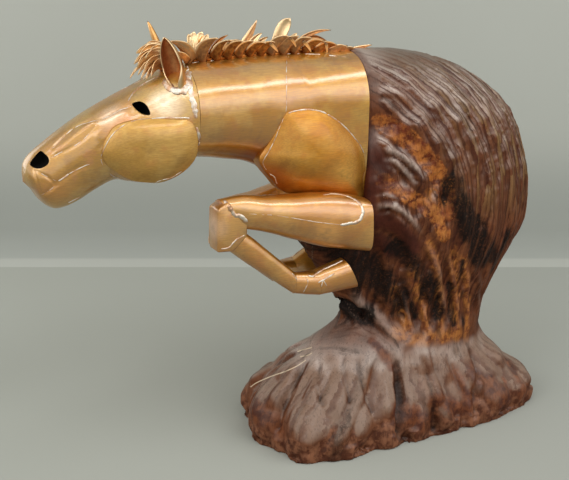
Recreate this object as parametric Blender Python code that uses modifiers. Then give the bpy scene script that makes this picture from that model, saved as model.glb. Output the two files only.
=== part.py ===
# Horse leaping out of a carved block: sheet copper forequarters on a gouged hardwood trunk.
# Metres, +Z up, origin at the centre of the wooden base. The horse faces -X and its near side is -Y.

import math

import bpy
import bmesh
from mathutils import Matrix, Vector

# Driving sizes of the wooden block
WOOD_HEIGHT = 0.803
WOOD_LENGTH = 0.631
BASE_WIDTH = 0.304
TRUNK_WIDTH = 0.284
KEEL_WIDTH = 0.124
KEEL_FRONT = 0.380
COLLAR_SETBACK = 0.1248
SEAT_Z = 0.430
BASE_LOBES = 16
BASE_LOBE_DEPTH = 0.019
TRUNK_FLUTES = 20
TRUNK_FLUTE_DEPTH = 0.010
HOLLOW_WIDTH = 0.048
HOLLOW_DEPTH = 0.015

# Driving sizes of the copper work
GAP = 0.0004
CREST_DROP = 0.003
NECK_WIDTH = 0.180
DRUM_LENGTH = 0.136
NECK_LENGTH = 0.211
HEAD_LENGTH = 0.306
HEAD_DROP = 0.158
FACE_WIDTH = 0.152
CHEEK_LENGTH = 0.176
CHEEK_HEIGHT = 0.121
CHEEK_TAPER = 0.0255
CHEEK_RISE = 0.013
SHOULDER_LENGTH = 0.216
SHOULDER_HEIGHT = 0.172
SHOULDER_RISE = 0.026
FAR_SHOULDER_SHARE = 0.80
LEG_SPACING = 0.200
ARM_DEPTH = 0.104
ARM_WIDTH = 0.080
ARM_SETBACK = 0.009
ARM_DROP = 0.326
FAR_ARM_DROP = 0.322
KNEE_REACH = 0.3025
KNEE_DROP = 0.291
FAR_KNEE_REACH = 0.223
FAR_KNEE_DROP = 0.351
SHIN_RUN = 0.1345
SHIN_DROP = 0.135
FAR_SHIN_RUN = 0.106
FAR_SHIN_DROP = 0.119
KNEE_HEIGHT = 0.092
KNEE_LENGTH = 0.062
KNEE_WIDTH = 0.042
CANNON_DEPTH = 0.046
CANNON_WIDTH = 0.038
FETLOCK_LENGTH = 0.050
HOOF_LENGTH = 0.073
HOOF_WIDTH = 0.054
SOLE_DEPTH = 0.068
EAR_LENGTH = 0.103
EAR_WIDTH = 0.036
SHEET = 0.002
EYE_LENGTH = 0.038
NOSTRIL_LENGTH = 0.036
POCKET_DEPTH = 0.014
CREST_HEIGHT = 0.010
CREST_WIDTH = 0.006
LOCK_HEIGHT = 0.064
LOCK_WIDTH = 0.030

# Fineness of the facets
WOOD_SIDES = 64
DRUM_SIDES = 24
HEAD_SIDES = 20
LEG_SIDES = 12

COLLAR_X = COLLAR_SETBACK - KEEL_FRONT * WOOD_LENGTH
CREST_Z = WOOD_HEIGHT - CREST_DROP
NECK_RADIUS = NECK_WIDTH / 2
SEAM_X = COLLAR_X - DRUM_LENGTH
THROAT_X = SEAM_X - NECK_LENGTH
HALF_TURN = math.pi


def clear_scene():
    for item in list(bpy.data.objects):
        bpy.data.objects.remove(item)


def new_collection(name):
    group = bpy.data.collections.new(name)
    bpy.context.scene.collection.children.link(group)
    return group


def material(name, colour, roughness, metallic):
    made = bpy.data.materials.new(name)
    made.use_nodes = True
    shader = made.node_tree.nodes["Principled BSDF"]
    shader.inputs["Base Color"].default_value = (*colour, 1.0)
    shader.inputs["Roughness"].default_value = roughness
    shader.inputs["Metallic"].default_value = metallic
    return made


clear_scene()
SCULPTURE = new_collection("copper_and_wood_horse")
CUTTERS = new_collection("cutters")
WALNUT = material("stained_wood", (0.120, 0.045, 0.020), 0.45, 0.0)
COPPER = material("sheet_copper", (0.620, 0.340, 0.140), 0.30, 1.0)
DARK_COPPER = material("heat_darkened_copper", (0.400, 0.180, 0.070), 0.40, 1.0)


# Shared shaping helpers


def blend(a, b, share):
    return a + (b - a) * share


def ease(low, high, value):
    share = min(1.0, max(0.0, (value - low) / (high - low)))
    return share * share * (3 - 2 * share)


def spline_row(rows, key):
    """The row of values at key, on a smooth curve through rows whose first value rises."""
    place = 0
    while place < len(rows) - 2 and rows[place + 1][0] < key:
        place += 1
    before = rows[max(place - 1, 0)]
    start = rows[place]
    end = rows[place + 1]
    after = rows[min(place + 2, len(rows) - 1)]
    span = end[0] - start[0]
    share = (key - start[0]) / span
    row = []
    for p0, p1, p2, p3, k in zip(before, start, end, after, range(len(start))):
        rise_in = (p2 - p0) / (end[0] - before[0]) * span if end[0] > before[0] else p2 - p1
        rise_out = (p3 - p1) / (after[0] - start[0]) * span
        if k == 0:
            row.append(key)
            continue
        s2 = share * share
        s3 = s2 * share
        value = (2 * s3 - 3 * s2 + 1) * p1 + (s3 - 2 * s2 + share) * rise_in
        value += (3 * s2 - 2 * s3) * p2 + (s3 - s2) * rise_out
        row.append(value)
    return row


def power_wave(value, power):
    return math.copysign(abs(value) ** power, value)


def section(top, bottom, width, widest=0.5, squareness=2.2, sides=DRUM_SIDES, y=0.0, floor=None):
    """A closed ring in the upright plane through top and bottom, which are (x, z) pairs."""
    top_point = Vector((top[0], y, top[1]))
    bottom_point = Vector((bottom[0], y, bottom[1]))
    middle = bottom_point.lerp(top_point, widest)
    ring = []
    for k in range(sides):
        angle = 2 * HALF_TURN * k / sides
        side = power_wave(math.sin(angle), 2 / squareness) * width / 2
        rise = power_wave(math.cos(angle), 2 / squareness)
        reach = top_point - middle if rise > 0 else middle - bottom_point
        point = middle + reach * rise + Vector((0.0, side, 0.0))
        if floor is not None:
            point.z = max(point.z, floor)
        ring.append(point)
    return ring


def add_object(name, mesh, look, group=SCULPTURE):
    made = bpy.data.objects.new(name, mesh)
    group.objects.link(made)
    mesh.materials.clear()
    mesh.materials.append(look)
    return made


def finish_mesh(work, name, smooth_angle=35):
    """A mesh of flat triangles, facing out, so that later cuts meet it exactly."""
    bmesh.ops.triangulate(work, faces=work.faces)
    bmesh.ops.recalc_face_normals(work, faces=work.faces)
    mesh = bpy.data.meshes.new(name)
    work.to_mesh(mesh)
    work.free()
    mesh.shade_smooth()
    mesh.set_sharp_from_angle(angle=math.radians(smooth_angle))
    return mesh


def loft(name, rings, look, tip=None, smooth_angle=35):
    """One closed skin through rings of equal count, capped flat, or drawn to a tip point."""
    work = bmesh.new()
    loops = [[work.verts.new(point) for point in ring] for ring in rings]
    count = len(rings[0])
    for lower, upper in zip(loops, loops[1:]):
        for k in range(count):
            after = (k + 1) % count
            work.faces.new((lower[k], lower[after], upper[after], upper[k]))
    work.faces.new(loops[0])
    if tip is None:
        work.faces.new(loops[-1])
    else:
        peak = work.verts.new(tip)
        for k in range(count):
            work.faces.new((loops[-1][k], loops[-1][(k + 1) % count], peak))
    return add_object(name, finish_mesh(work, name, smooth_angle), look)


def settle(target):
    """The evaluated mesh takes the place of the object's modifiers."""
    bpy.context.view_layer.update()
    graph = bpy.context.evaluated_depsgraph_get()
    mesh = bpy.data.meshes.new_from_object(target.evaluated_get(graph))
    target.modifiers.clear()
    target.data = mesh
    return target


def boolean(target, other, operation):
    change = target.modifiers.new(operation.lower(), "BOOLEAN")
    change.operation = operation
    change.object = other
    change.solver = "EXACT"
    return settle(target)


def hide_as_cutter(helper):
    for group in list(helper.users_collection):
        group.objects.unlink(helper)
    CUTTERS.objects.link(helper)
    helper.hide_render = True
    helper.display_type = "WIRE"
    return helper


def grown_copy(source, gap=GAP):
    """A helper with the source's skin moved out by the gap."""
    work = bmesh.new()
    work.from_mesh(source.data)
    bmesh.ops.remove_doubles(work, verts=work.verts, dist=0.00001)
    work.normal_update()
    moves = [(vert, vert.normal * gap * vert.calc_shell_factor()) for vert in work.verts]
    for vert, move in moves:
        vert.co += move
    mesh = bpy.data.meshes.new(source.name + "_grown")
    work.to_mesh(mesh)
    work.free()
    helper = bpy.data.objects.new(mesh.name, mesh)
    CUTTERS.objects.link(helper)
    return hide_as_cutter(helper)


def trim(target, *others):
    """Cuts away what the others fill, with the gap that touching pieces keep."""
    for other in others:
        boolean(target, grown_copy(other), "DIFFERENCE")
    return target


def box(name, low, high):
    size = Vector(high) - Vector(low)
    bpy.ops.mesh.primitive_cube_add(size=1.0, location=Vector(low) + size / 2)
    made = bpy.context.object
    made.name = name
    made.data.transform(Matrix.Diagonal((*size, 1.0)))
    return hide_as_cutter(made)


# The wooden block: a lobed base, a waist and a trunk that swells back from the collar plane.
# Each row: height share, keel front, trunk front, rear, half width, keel share, front and rear
# squareness.
# Lengths are shares of WOOD_LENGTH and half widths are shares of the width at that height.

BLOCK_ROWS = (
    (0.000, -0.480, -0.480, 0.536, 0.508, 0.30, 5.5, 3.5),
    (0.062, -0.490, -0.490, 0.540, 0.514, 0.30, 5.5, 3.4),
    (0.118, -0.468, -0.468, 0.484, 0.474, 0.30, 4.8, 3.0),
    (0.156, -0.428, -0.418, 0.426, 0.415, 0.50, 4.2, 2.8),
    (0.187, -0.385, -0.362, 0.368, 0.376, 0.50, 3.8, 2.6),
    (0.224, -0.316, -0.292, 0.340, 0.345, 0.50, 3.2, 2.4),
    (0.262, -0.220, -0.200, 0.338, 0.335, 0.50, 2.6, 2.3),
    (0.299, -0.182, -0.154, 0.350, 0.340, 0.48, 2.3, 2.3),
    (0.349, -0.210, -0.142, 0.374, 0.360, 0.48, 2.3, 2.3),
    (0.417, -0.262, -0.140, 0.422, 0.408, 0.50, 2.3, 2.3),
    (0.498, -0.330, -0.150, 0.478, 0.452, 0.52, 2.3, 2.3),
    (0.535, -0.360, -0.175, 0.497, 0.467, 0.60, 2.3, 2.3),
    (0.585, -0.380, -0.240, 0.509, 0.480, 0.60, 2.3, 2.3),
    (0.648, -0.380, -0.262, 0.507, 0.484, 0.60, 2.3, 2.3),
    (0.733, -0.380, -0.262, 0.480, 0.474, 0.60, 2.2, 2.2),
    (0.819, -0.380, -0.262, 0.428, 0.444, 0.60, 2.2, 2.2),
    (0.892, -0.380, -0.262, 0.332, 0.382, 0.60, 2.1, 2.1),
    (0.945, -0.380, -0.262, 0.214, 0.298, 0.60, 2.0, 2.0),
    (0.976, -0.380, -0.262, 0.098, 0.206, 0.60, 2.0, 2.0),
    (0.995, -0.380, -0.262, -0.040, 0.092, 0.60, 2.0, 2.0),
)
BLOCK_HEIGHTS = (
    0.0, 0.031, 0.062, 0.092, 0.118, 0.138, 0.158, 0.178, 0.2, 0.224, 0.243, 0.262, 0.281, 0.302,
    0.324, 0.352, 0.386, 0.425, 0.465, 0.5, 0.535, 0.585, 0.635, 0.685, 0.735, 0.78, 0.825, 0.865,
    0.9, 0.93, 0.957, 0.98, 0.993,
)
BLOCK_PEAK_X = -0.22
# Lines of the scooped hollows: points behind the collar and above the floor, as shares of
# WOOD_LENGTH and WOOD_HEIGHT.
HOLLOWS = (
    ((0.012, 0.840), (0.078, 0.796), (0.171, 0.726), (0.230, 0.657), (0.258, 0.600)),
    ((0.021, 0.707), (0.078, 0.682), (0.171, 0.634), (0.217, 0.597)),
)
BASE_TOP = 0.245
FLUTE_FOOT = 0.270
REAR_TAPER = 0.11


def oval_radius(angle, front, rear, half_width, squareness):
    """Distance from the origin to an oval's outline, whose front and rear reach differ."""
    along = math.cos(angle)
    across = abs(math.sin(angle))
    reach = rear if along > 0 else front
    total = (abs(along) / reach) ** squareness + (across / half_width) ** squareness
    return total ** (-1 / squareness)


def base_lobes(turn, share):
    """Depth cut between the rounded lobes of the base."""
    strength = 1 - ease(0.12, BASE_TOP, share)
    wave = abs(math.sin(BASE_LOBES * turn / 2))
    variety = 0.75 + 0.25 * math.sin(3.1 * turn + 0.8) + 0.2 * math.sin(7.3 * turn)
    return BASE_LOBE_DEPTH * strength * variety * (1 - wave)


def flow_share(x, share):
    """How far outward a point lies, 0 at the collar's foot and 1 on the back, along flow lines.

    Above the seat the lines are ovals about the collar's foot, tall ones inside flat ones. Below
    it they run down to the waist.
    """
    seat_share = SEAT_Z / WOOD_HEIGHT
    front, rear = [value * WOOD_LENGTH for value in spline_row(BLOCK_ROWS, min(share, seat_share))[2:4]]
    if share <= seat_share:
        return (x - front) / (rear - front)
    across = (x - COLLAR_X) / (rear - COLLAR_X)
    rise = (share - seat_share) * WOOD_HEIGHT / (rear - COLLAR_X)
    flow = math.hypot(across, rise)
    for step in range(5):
        flow = math.hypot(across, rise / blend(1.6, 0.82, min(flow, 1.0)))
    return flow


def trunk_flutes(x, y, share):
    """Depth of the broad flutes that sweep from the collar over the back and down the waist."""
    around = math.atan2(2 * y / TRUNK_WIDTH, 2 * flow_share(x, share) - 1)
    wave = abs(math.sin(TRUNK_FLUTES * around / 2 + 0.5 * math.sin(2 * around)))
    strength = ease(FLUTE_FOOT - 0.05, FLUTE_FOOT + 0.06, share) * (1 - 0.6 * ease(0.8, 0.97, share))
    return TRUNK_FLUTE_DEPTH * strength * wave ** 1.3


def hollows(x, share):
    """Depth of the long scooped hollows that part the smooth petals beside the collar."""
    point = Vector((x, share * WOOD_HEIGHT))
    deepest = 0.0
    for line in HOLLOWS:
        for start, end in zip(line, line[1:]):
            start = Vector((COLLAR_X + start[0] * WOOD_LENGTH, start[1] * WOOD_HEIGHT))
            end = Vector((COLLAR_X + end[0] * WOOD_LENGTH, end[1] * WOOD_HEIGHT))
            run = end - start
            along = min(1.0, max(0.0, (point - start).dot(run) / run.length_squared))
            away = (point - start - run * along).length / (HOLLOW_WIDTH / 2)
            deepest = max(deepest, 1 - ease(0.2, 1.0, away))
    return HOLLOW_DEPTH * deepest


def block_ring(share):
    row = spline_row(BLOCK_ROWS, share)
    keel_front, front, rear = [value * WOOD_LENGTH for value in row[1:4]]
    width = blend(BASE_WIDTH, TRUNK_WIDTH, ease(BASE_TOP - 0.08, BASE_TOP + 0.08, share))
    half = row[4] * width
    keel_half = min(row[5] * KEEL_WIDTH, half)
    centre = (front + rear) / 2
    blending = 9
    ring = []
    for k in range(WOOD_SIDES):
        turn = 2 * HALF_TURN * k / WOOD_SIDES
        angle = turn + 0.4 * math.sin(turn)
        squareness = row[7] if math.cos(angle) > 0 else row[6]
        trunk = oval_radius(angle, centre - front, rear - centre, half, squareness)
        keel = oval_radius(angle, centre - keel_front, rear - centre, keel_half, 3.0)
        keel = keel if math.cos(angle) < 0 else 0.0
        radius = (trunk ** blending + keel ** blending) ** (1 / blending)
        x = centre + radius * math.cos(angle)
        y = radius * math.sin(angle)
        y *= 1 - REAR_TAPER * (1 - ease(0.1, 0.3, share)) * x / (WOOD_LENGTH / 2)
        cut = base_lobes(turn, share) + trunk_flutes(x, y, share) + hollows(x, share)
        pull = 1 - cut / radius
        ring.append(Vector((centre + (x - centre) * pull, y * pull, share * WOOD_HEIGHT)))
    return ring


def make_block():
    rings = [block_ring(share) for share in BLOCK_HEIGHTS]
    peak = Vector((BLOCK_PEAK_X * WOOD_LENGTH, 0.0, WOOD_HEIGHT))
    block = loft("carved_wood_block", rings, WALNUT, tip=peak, smooth_angle=50)
    far = WOOD_LENGTH
    seat = box("copper_seat", (-far, -far, SEAT_Z), (COLLAR_X, far, 2 * WOOD_HEIGHT))
    return boolean(block, seat, "DIFFERENCE")


# The neck and chest: two rolled drums that meet at one soldered seam, the rear one deeper,
# seated on the wooden keel. Each row: x, top drop, bottom height, width share, widest share.


def drum_sections(rows, floor=None):
    rings = []
    for x, top_drop, bottom, width_share, widest in rows:
        top = (x, CREST_Z - top_drop)
        width = NECK_WIDTH * width_share
        rings.append(section(top, (x, bottom), width, widest, 2.2, DRUM_SIDES, 0.0, floor))
    return rings


def make_neck():
    axis_z = CREST_Z - NECK_RADIUS
    front = THROAT_X + GAP
    span = SEAM_X - front
    breast = blend(SEAT_Z, axis_z, 0.34)
    shares = (
        (0.00, 0.056, 0.978, 0.955, 0.50),
        (0.25, 0.033, 1.056, 0.975, 0.51),
        (0.50, 0.011, 1.167, 0.995, 0.53),
        (0.64, 0.000, 1.289, 1.000, 0.55),
        (0.76, 0.000, 1.467, 1.005, 0.58),
        (0.88, 0.000, 1.733, 1.010, 0.63),
    )
    rows = [
        (front + along * span, top * NECK_RADIUS, axis_z - bottom * NECK_RADIUS, width, widest)
        for along, top, bottom, width, widest in shares
    ]
    rows.append((SEAM_X - GAP, 0.000, breast, 1.015, 0.66))
    return loft("neck_drum", drum_sections(rows), COPPER)


def make_chest():
    axis_z = CREST_Z - NECK_RADIUS
    breast = blend(SEAT_Z, axis_z, 0.34)
    floor = SEAT_Z + GAP
    low = SEAT_Z - 0.133 * NECK_RADIUS
    rows = (
        (SEAM_X, 0.000, breast, 1.015, 0.66),
        (SEAM_X + 0.06 * DRUM_LENGTH, 0.000, blend(low, breast, 0.62), 1.017, 0.69),
        (SEAM_X + 0.13 * DRUM_LENGTH, 0.000, blend(low, breast, 0.30), 1.018, 0.73),
        (SEAM_X + 0.22 * DRUM_LENGTH, 0.000, low, 1.020, 0.76),
        (SEAM_X + 0.50 * DRUM_LENGTH, 0.000, low, 1.020, 0.76),
        (COLLAR_X - GAP, 0.011 * NECK_RADIUS, low, 1.010, 0.76),
    )
    return loft("chest_drum", drum_sections(rows, floor), COPPER)


# The head: one tapering box from the throat to the muzzle, with eye and nostril pockets.
# Each row: top along, top drop, bottom along, bottom drop, width share, squareness,
# as shares of HEAD_LENGTH ahead of the throat and of HEAD_DROP below the crest.

HEAD_ROWS = (
    (0.000, 0.035, 0.000, 1.175, 1.13, 2.2),
    (0.120, 0.085, 0.085, 1.330, 1.06, 2.3),
    (0.255, 0.205, 0.190, 1.400, 1.01, 2.4),
    (0.370, 0.300, 0.290, 1.375, 0.97, 2.4),
    (0.480, 0.395, 0.385, 1.335, 0.91, 2.5),
    (0.600, 0.500, 0.480, 1.300, 0.82, 2.5),
    (0.710, 0.620, 0.590, 1.390, 0.72, 2.5),
    (0.815, 0.745, 0.690, 1.495, 0.64, 2.5),
    (0.900, 0.855, 0.775, 1.560, 0.60, 2.5),
    (0.957, 0.945, 0.845, 1.560, 0.57, 2.5),
    (0.988, 1.030, 0.910, 1.470, 0.50, 2.4),
    (1.000, 1.120, 0.960, 1.330, 0.34, 2.2),
)
EYE_PLACE = (0.345, 0.445)
NOSTRIL_PLACE = (0.912, 0.925)
EYE_TILT = math.radians(40)
NOSTRIL_TILT = math.radians(-20)


def head_point(along, drop):
    return THROAT_X - along * HEAD_LENGTH, CREST_Z - drop * HEAD_DROP


def head_section(row):
    top = head_point(row[0], row[1])
    bottom = head_point(row[2], row[3])
    return section(top, bottom, FACE_WIDTH * row[4], 0.52, row[5], HEAD_SIDES)


def pocket(name, place, length, height_share, tilt, side, reach):
    """A leaf-shaped cutter that points into the head from one side."""
    outline = bpy.data.curves.new(name, "CURVE")
    outline.dimensions = "2D"
    outline.fill_mode = "BOTH"
    outline.extrude = POCKET_DEPTH
    spline = outline.splines.new("POLY")
    steps = 12
    spline.points.add(steps - 1)
    for k in range(steps):
        angle = 2 * HALF_TURN * k / steps
        across = math.cos(angle) * length / 2
        rise = math.sin(angle) * length * height_share / 2 * (1 + 0.35 * math.cos(angle))
        spline.points[k].co = (across, rise, 0.0, 1.0)
    spline.use_cyclic_u = True
    helper = bpy.data.objects.new(name, outline)
    CUTTERS.objects.link(helper)
    x, z = head_point(*place)
    helper.matrix_world = (
        Matrix.Translation((x, side * reach, z))
        @ Matrix.Rotation(tilt, 4, "Y")
        @ Matrix.Rotation(HALF_TURN / 2, 4, "X")
    )
    bpy.context.view_layer.update()
    graph = bpy.context.evaluated_depsgraph_get()
    mesh = bpy.data.meshes.new_from_object(helper.evaluated_get(graph))
    work = bmesh.new()
    work.from_mesh(mesh)
    bmesh.ops.remove_doubles(work, verts=work.verts, dist=0.00001)
    bmesh.ops.recalc_face_normals(work, faces=work.faces)
    work.to_mesh(mesh)
    work.free()
    cutter = bpy.data.objects.new(name + "_cutter", mesh)
    cutter.matrix_world = helper.matrix_world
    CUTTERS.objects.link(cutter)
    bpy.data.objects.remove(helper)
    return hide_as_cutter(cutter)


def make_head():
    rings = [head_section(row) for row in HEAD_ROWS]
    nose = head_point(1.005, 1.23)
    head = loft("head", rings, COPPER, tip=Vector((nose[0], 0.0, nose[1])))
    for side in (-1, 1):
        eye_reach = FACE_WIDTH * 0.42
        cutter = pocket("eye", EYE_PLACE, EYE_LENGTH, 0.62, EYE_TILT, side, eye_reach)
        head = boolean(head, cutter, "DIFFERENCE")
        nose_reach = FACE_WIDTH * 0.25
        cutter = pocket("nostril", NOSTRIL_PLACE, NOSTRIL_LENGTH, 0.85, NOSTRIL_TILT, side, nose_reach)
        head = boolean(head, cutter, "DIFFERENCE")
    return head


# Domed plates: the cheeks on the head and the shoulders on the drums, soldered over them.


def dome(name, outline, rim_y, taper, rise, side, look, steps=4):
    """A shallow dome over an outline of (x, z) points.

    Its rim lies rim_y from the mid plane at the rear and comes in by taper towards the front.
    """
    centre = sum((Vector(point) for point in outline), Vector((0.0, 0.0))) / len(outline)
    rear = max(x for x, z in outline)
    slope = taper / (rear - min(x for x, z in outline))
    rings = [[Vector((x, side * rim_y * 0.4, z)) for x, z in outline]]
    for k in range(steps):
        lean = HALF_TURN / 2 * k / steps
        ring = []
        for corner in outline:
            x, z = centre + (Vector(corner) - centre) * math.cos(lean)
            y = rim_y - slope * (rear - x) + rise * math.sin(lean)
            ring.append(Vector((x, side * y, z)))
        rings.append(ring)
    peak = Vector((centre.x, side * (rim_y - slope * (rear - centre.x) + rise), centre.y))
    return loft(name, rings, look, tip=peak)


def cheek_outline():
    """A disc whose upper rear corner is squared where it meets the neck seam."""
    rear, top = head_point(0.019, 0.520)
    share_points = (
        (0.084, 0.074), (0.27, 0.03), (0.48, 0.0), (0.69, 0.017), (0.855, 0.09), (0.935, 0.215),
        (0.985, 0.36), (1.0, 0.50), (0.975, 0.64), (0.866, 0.80), (0.715, 0.934), (0.51, 1.0),
        (0.313, 0.975), (0.14, 0.843), (0.03, 0.66), (0.0, 0.45), (0.015, 0.24),
    )
    return [(rear - a * CHEEK_LENGTH, top - b * CHEEK_HEIGHT) for a, b in share_points]


def make_cheek(side, head, neck):
    name = "cheek_near" if side < 0 else "cheek_far"
    rim = FACE_WIDTH * 0.58
    return trim(dome(name, cheek_outline(), rim, CHEEK_TAPER, CHEEK_RISE, side, COPPER), head, neck)


def shoulder_outline(length):
    """A fan: round over the top and rear, straight along the collar, with a heel low in front."""
    rear = COLLAR_X - 10 * GAP
    top = CREST_Z - 0.922 * NECK_RADIUS
    share_points = (
        (0.80, 0.00), (0.93, 0.16), (1.00, 0.42), (0.985, 0.60), (0.93, 0.76), (0.80, 0.97),
        (0.55, 1.02), (0.30, 1.04), (0.04, 1.05), (0.015, 0.80), (0.03, 0.55), (0.12, 0.32),
        (0.25, 0.15), (0.42, 0.03), (0.60, -0.04), (0.72, -0.04),
    )
    return [(rear - a * length, top - b * SHOULDER_HEIGHT) for a, b in share_points]


def make_shoulder(side, neck, chest):
    name = "shoulder_near" if side < 0 else "shoulder_far"
    length = SHOULDER_LENGTH * (1.0 if side < 0 else FAR_SHOULDER_SHARE)
    rim = NECK_RADIUS * 1.045
    plate = dome(name, shoulder_outline(length), rim, 0.0, SHOULDER_RISE, side, COPPER, 5)
    return trim(plate, neck, chest)


# The forelegs: forearm, knee, cannon, fetlock and hoof, each a tube cut to meet the next.
# A leg hangs from the collar and the crest, and its points are (x, z) pairs.


class Leg:
    """Where one foreleg's joints lie. The far leg is carried lower and further back."""

    def __init__(self, side, knee_reach, knee_drop, shin_run, shin_drop, hoof_turn, arm_drop):
        self.side = side
        self.label = "near" if side < 0 else "far"
        self.y = side * LEG_SPACING / 2
        self.knee = Vector((COLLAR_X - knee_reach, CREST_Z - knee_drop))
        self.cannon_end = self.knee + Vector((shin_run, -shin_drop))
        self.hoof_turn = math.radians(hoof_turn)
        self.arm_rear_z = CREST_Z - arm_drop

    def ring(self, top, bottom, width, squareness=2.3, shift=0.0):
        y = self.y + shift
        return section(tuple(top), tuple(bottom), width, 0.5, squareness, LEG_SIDES, y)


def knee_corners(leg):
    """Upper front, upper rear, lower rear and lower front corners of the knee block."""
    half = Vector((KNEE_LENGTH / 2, KNEE_HEIGHT / 2))
    offsets = ((-0.86, 0.76), (-0.20, 1.02), (1.02, 0.02), (1.0, -0.50), (0.10, -1.07), (-0.97, -1.02))
    return [leg.knee + Vector((half.x * a, half.y * b)) for a, b in offsets]


def make_knee(leg):
    outline = bpy.data.curves.new("knee_outline", "CURVE")
    outline.dimensions = "2D"
    outline.fill_mode = "BOTH"
    outline.extrude = KNEE_WIDTH / 2
    spline = outline.splines.new("POLY")
    corners = knee_corners(leg)
    spline.points.add(len(corners) - 1)
    for point, corner in zip(spline.points, corners):
        point.co = (corner.x, corner.y, 0.0, 1.0)
    spline.use_cyclic_u = True
    helper = bpy.data.objects.new("knee_outline", outline)
    CUTTERS.objects.link(helper)
    helper.matrix_world = Matrix.Translation((0.0, leg.y, 0.0)) @ Matrix.Rotation(HALF_TURN / 2, 4, "X")
    bpy.context.view_layer.update()
    mesh = bpy.data.meshes.new_from_object(helper.evaluated_get(bpy.context.evaluated_depsgraph_get()))
    mesh.transform(helper.matrix_world)
    bpy.data.objects.remove(helper)
    work = bmesh.new()
    work.from_mesh(mesh)
    bmesh.ops.remove_doubles(work, verts=work.verts, dist=0.00001)
    knee = add_object("knee_" + leg.label, finish_mesh(work, "knee_" + leg.label), COPPER)
    soften = knee.modifiers.new("soft_edges", "BEVEL")
    soften.width = KNEE_LENGTH * 0.1
    soften.segments = 2
    return settle(knee)


def make_forearm(leg, knee, *neighbours):
    corners = knee_corners(leg)
    seam_top, seam_bottom = corners[1], corners[2]
    along = (seam_top + seam_bottom) / 2
    rear = Vector((COLLAR_X - ARM_SETBACK, leg.arm_rear_z))
    span = rear - along
    rows = (
        (0.05, 0.60, 0.62), (0.22, 0.66, 0.76), (0.45, 0.85, 0.90), (0.68, 1.03, 1.0),
        (0.86, 1.05, 1.02),
    )
    into_knee = Vector((-0.20, 0.03)) * KNEE_LENGTH
    rings = [leg.ring(seam_top + into_knee, seam_bottom + into_knee, KNEE_WIDTH * 0.9)]
    for share, depth, width in rows:
        middle = along + span * share
        half = Vector((0.10, 0.99)) * ARM_DEPTH * depth / 2
        rings.append(leg.ring(middle + half, middle - half, ARM_WIDTH * width))
    end = Vector((0.0, ARM_DEPTH * 0.49))
    rings.append(leg.ring(rear + end, rear - end * 1.04, ARM_WIDTH * 0.98, 2.6))
    arm = loft("forearm_" + leg.label, rings, COPPER)
    return trim(arm, knee, *neighbours)


def make_cannon(leg, knee):
    corners = knee_corners(leg)
    start = (corners[3] + corners[4]) / 2 + Vector((-0.16, 0.13)) * KNEE_LENGTH
    end = leg.cannon_end
    run = (end - start).normalized()
    across = Vector((-run.y, run.x))
    if across.y < 0:
        across.negate()
    rings = []
    for share, scale in ((0.0, 1.0), (0.3, 0.98), (0.65, 0.88), (1.0, 0.86)):
        middle = start.lerp(end, share)
        half = across * CANNON_DEPTH * scale / 2
        if share == 1.0:
            half = Vector((0.10, 0.99)).normalized() * half.length * 1.06
        rings.append(leg.ring(middle + half, middle - half, CANNON_WIDTH * scale, 2.6))
    return trim(loft("cannon_" + leg.label, rings, COPPER), knee)


def hoof_frame(leg):
    """Start point and the two directions of the fetlock and hoof."""
    fetlock_run = Vector((math.cos(leg.hoof_turn * 0.35 - 0.20), math.sin(leg.hoof_turn * 0.35 - 0.20)))
    hoof_run = Vector((math.cos(leg.hoof_turn), math.sin(leg.hoof_turn)))
    return fetlock_run, hoof_run


def make_fetlock(leg):
    fetlock_run = hoof_frame(leg)[0]
    start = leg.cannon_end + Vector((GAP, 0.0))
    end = start + fetlock_run * FETLOCK_LENGTH
    first_half = Vector((0.10, 0.99)).normalized() * CANNON_DEPTH * 0.86 * 1.06 / 2
    last_half = Vector((-0.18, 0.98)).normalized() * CANNON_DEPTH * 1.10 / 2
    rings = []
    for share in (0.0, 0.33, 0.66, 1.0):
        middle = start.lerp(end, share)
        half = first_half.lerp(last_half, share)
        width = CANNON_WIDTH * blend(0.86, 1.12, share)
        rings.append(leg.ring(middle + half, middle - half, width, 2.4))
    return loft("fetlock_" + leg.label, rings, COPPER)


def make_hoof(leg):
    fetlock_run, hoof_run = hoof_frame(leg)
    start = leg.cannon_end + Vector((GAP, 0.0)) + fetlock_run * FETLOCK_LENGTH + Vector((GAP, 0.0))
    end = start + hoof_run * HOOF_LENGTH
    first_half = Vector((-0.18, 0.98)).normalized() * CANNON_DEPTH * 1.10 / 2
    sole_half = Vector((-0.42, 0.91)).normalized() * SOLE_DEPTH / 2
    rings = []
    for share in (0.0, 0.45, 0.93, 1.0):
        middle = start.lerp(end, share)
        half = first_half.lerp(sole_half, share)
        width = blend(CANNON_WIDTH * 1.12, HOOF_WIDTH, share)
        rings.append(leg.ring(middle + half, middle - half, width, 2.3))
    return loft("hoof_" + leg.label, rings, COPPER)


# The ears: rolled leaves of sheet, open to the front and side, on the poll. The near one is
# turned further forward.

EAR_FORWARD = 0.38
FAR_EAR_SHARE = 0.45
EAR_OUTWARD = 0.28
EAR_ROWS = 6
EAR_COLUMNS = 6


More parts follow.
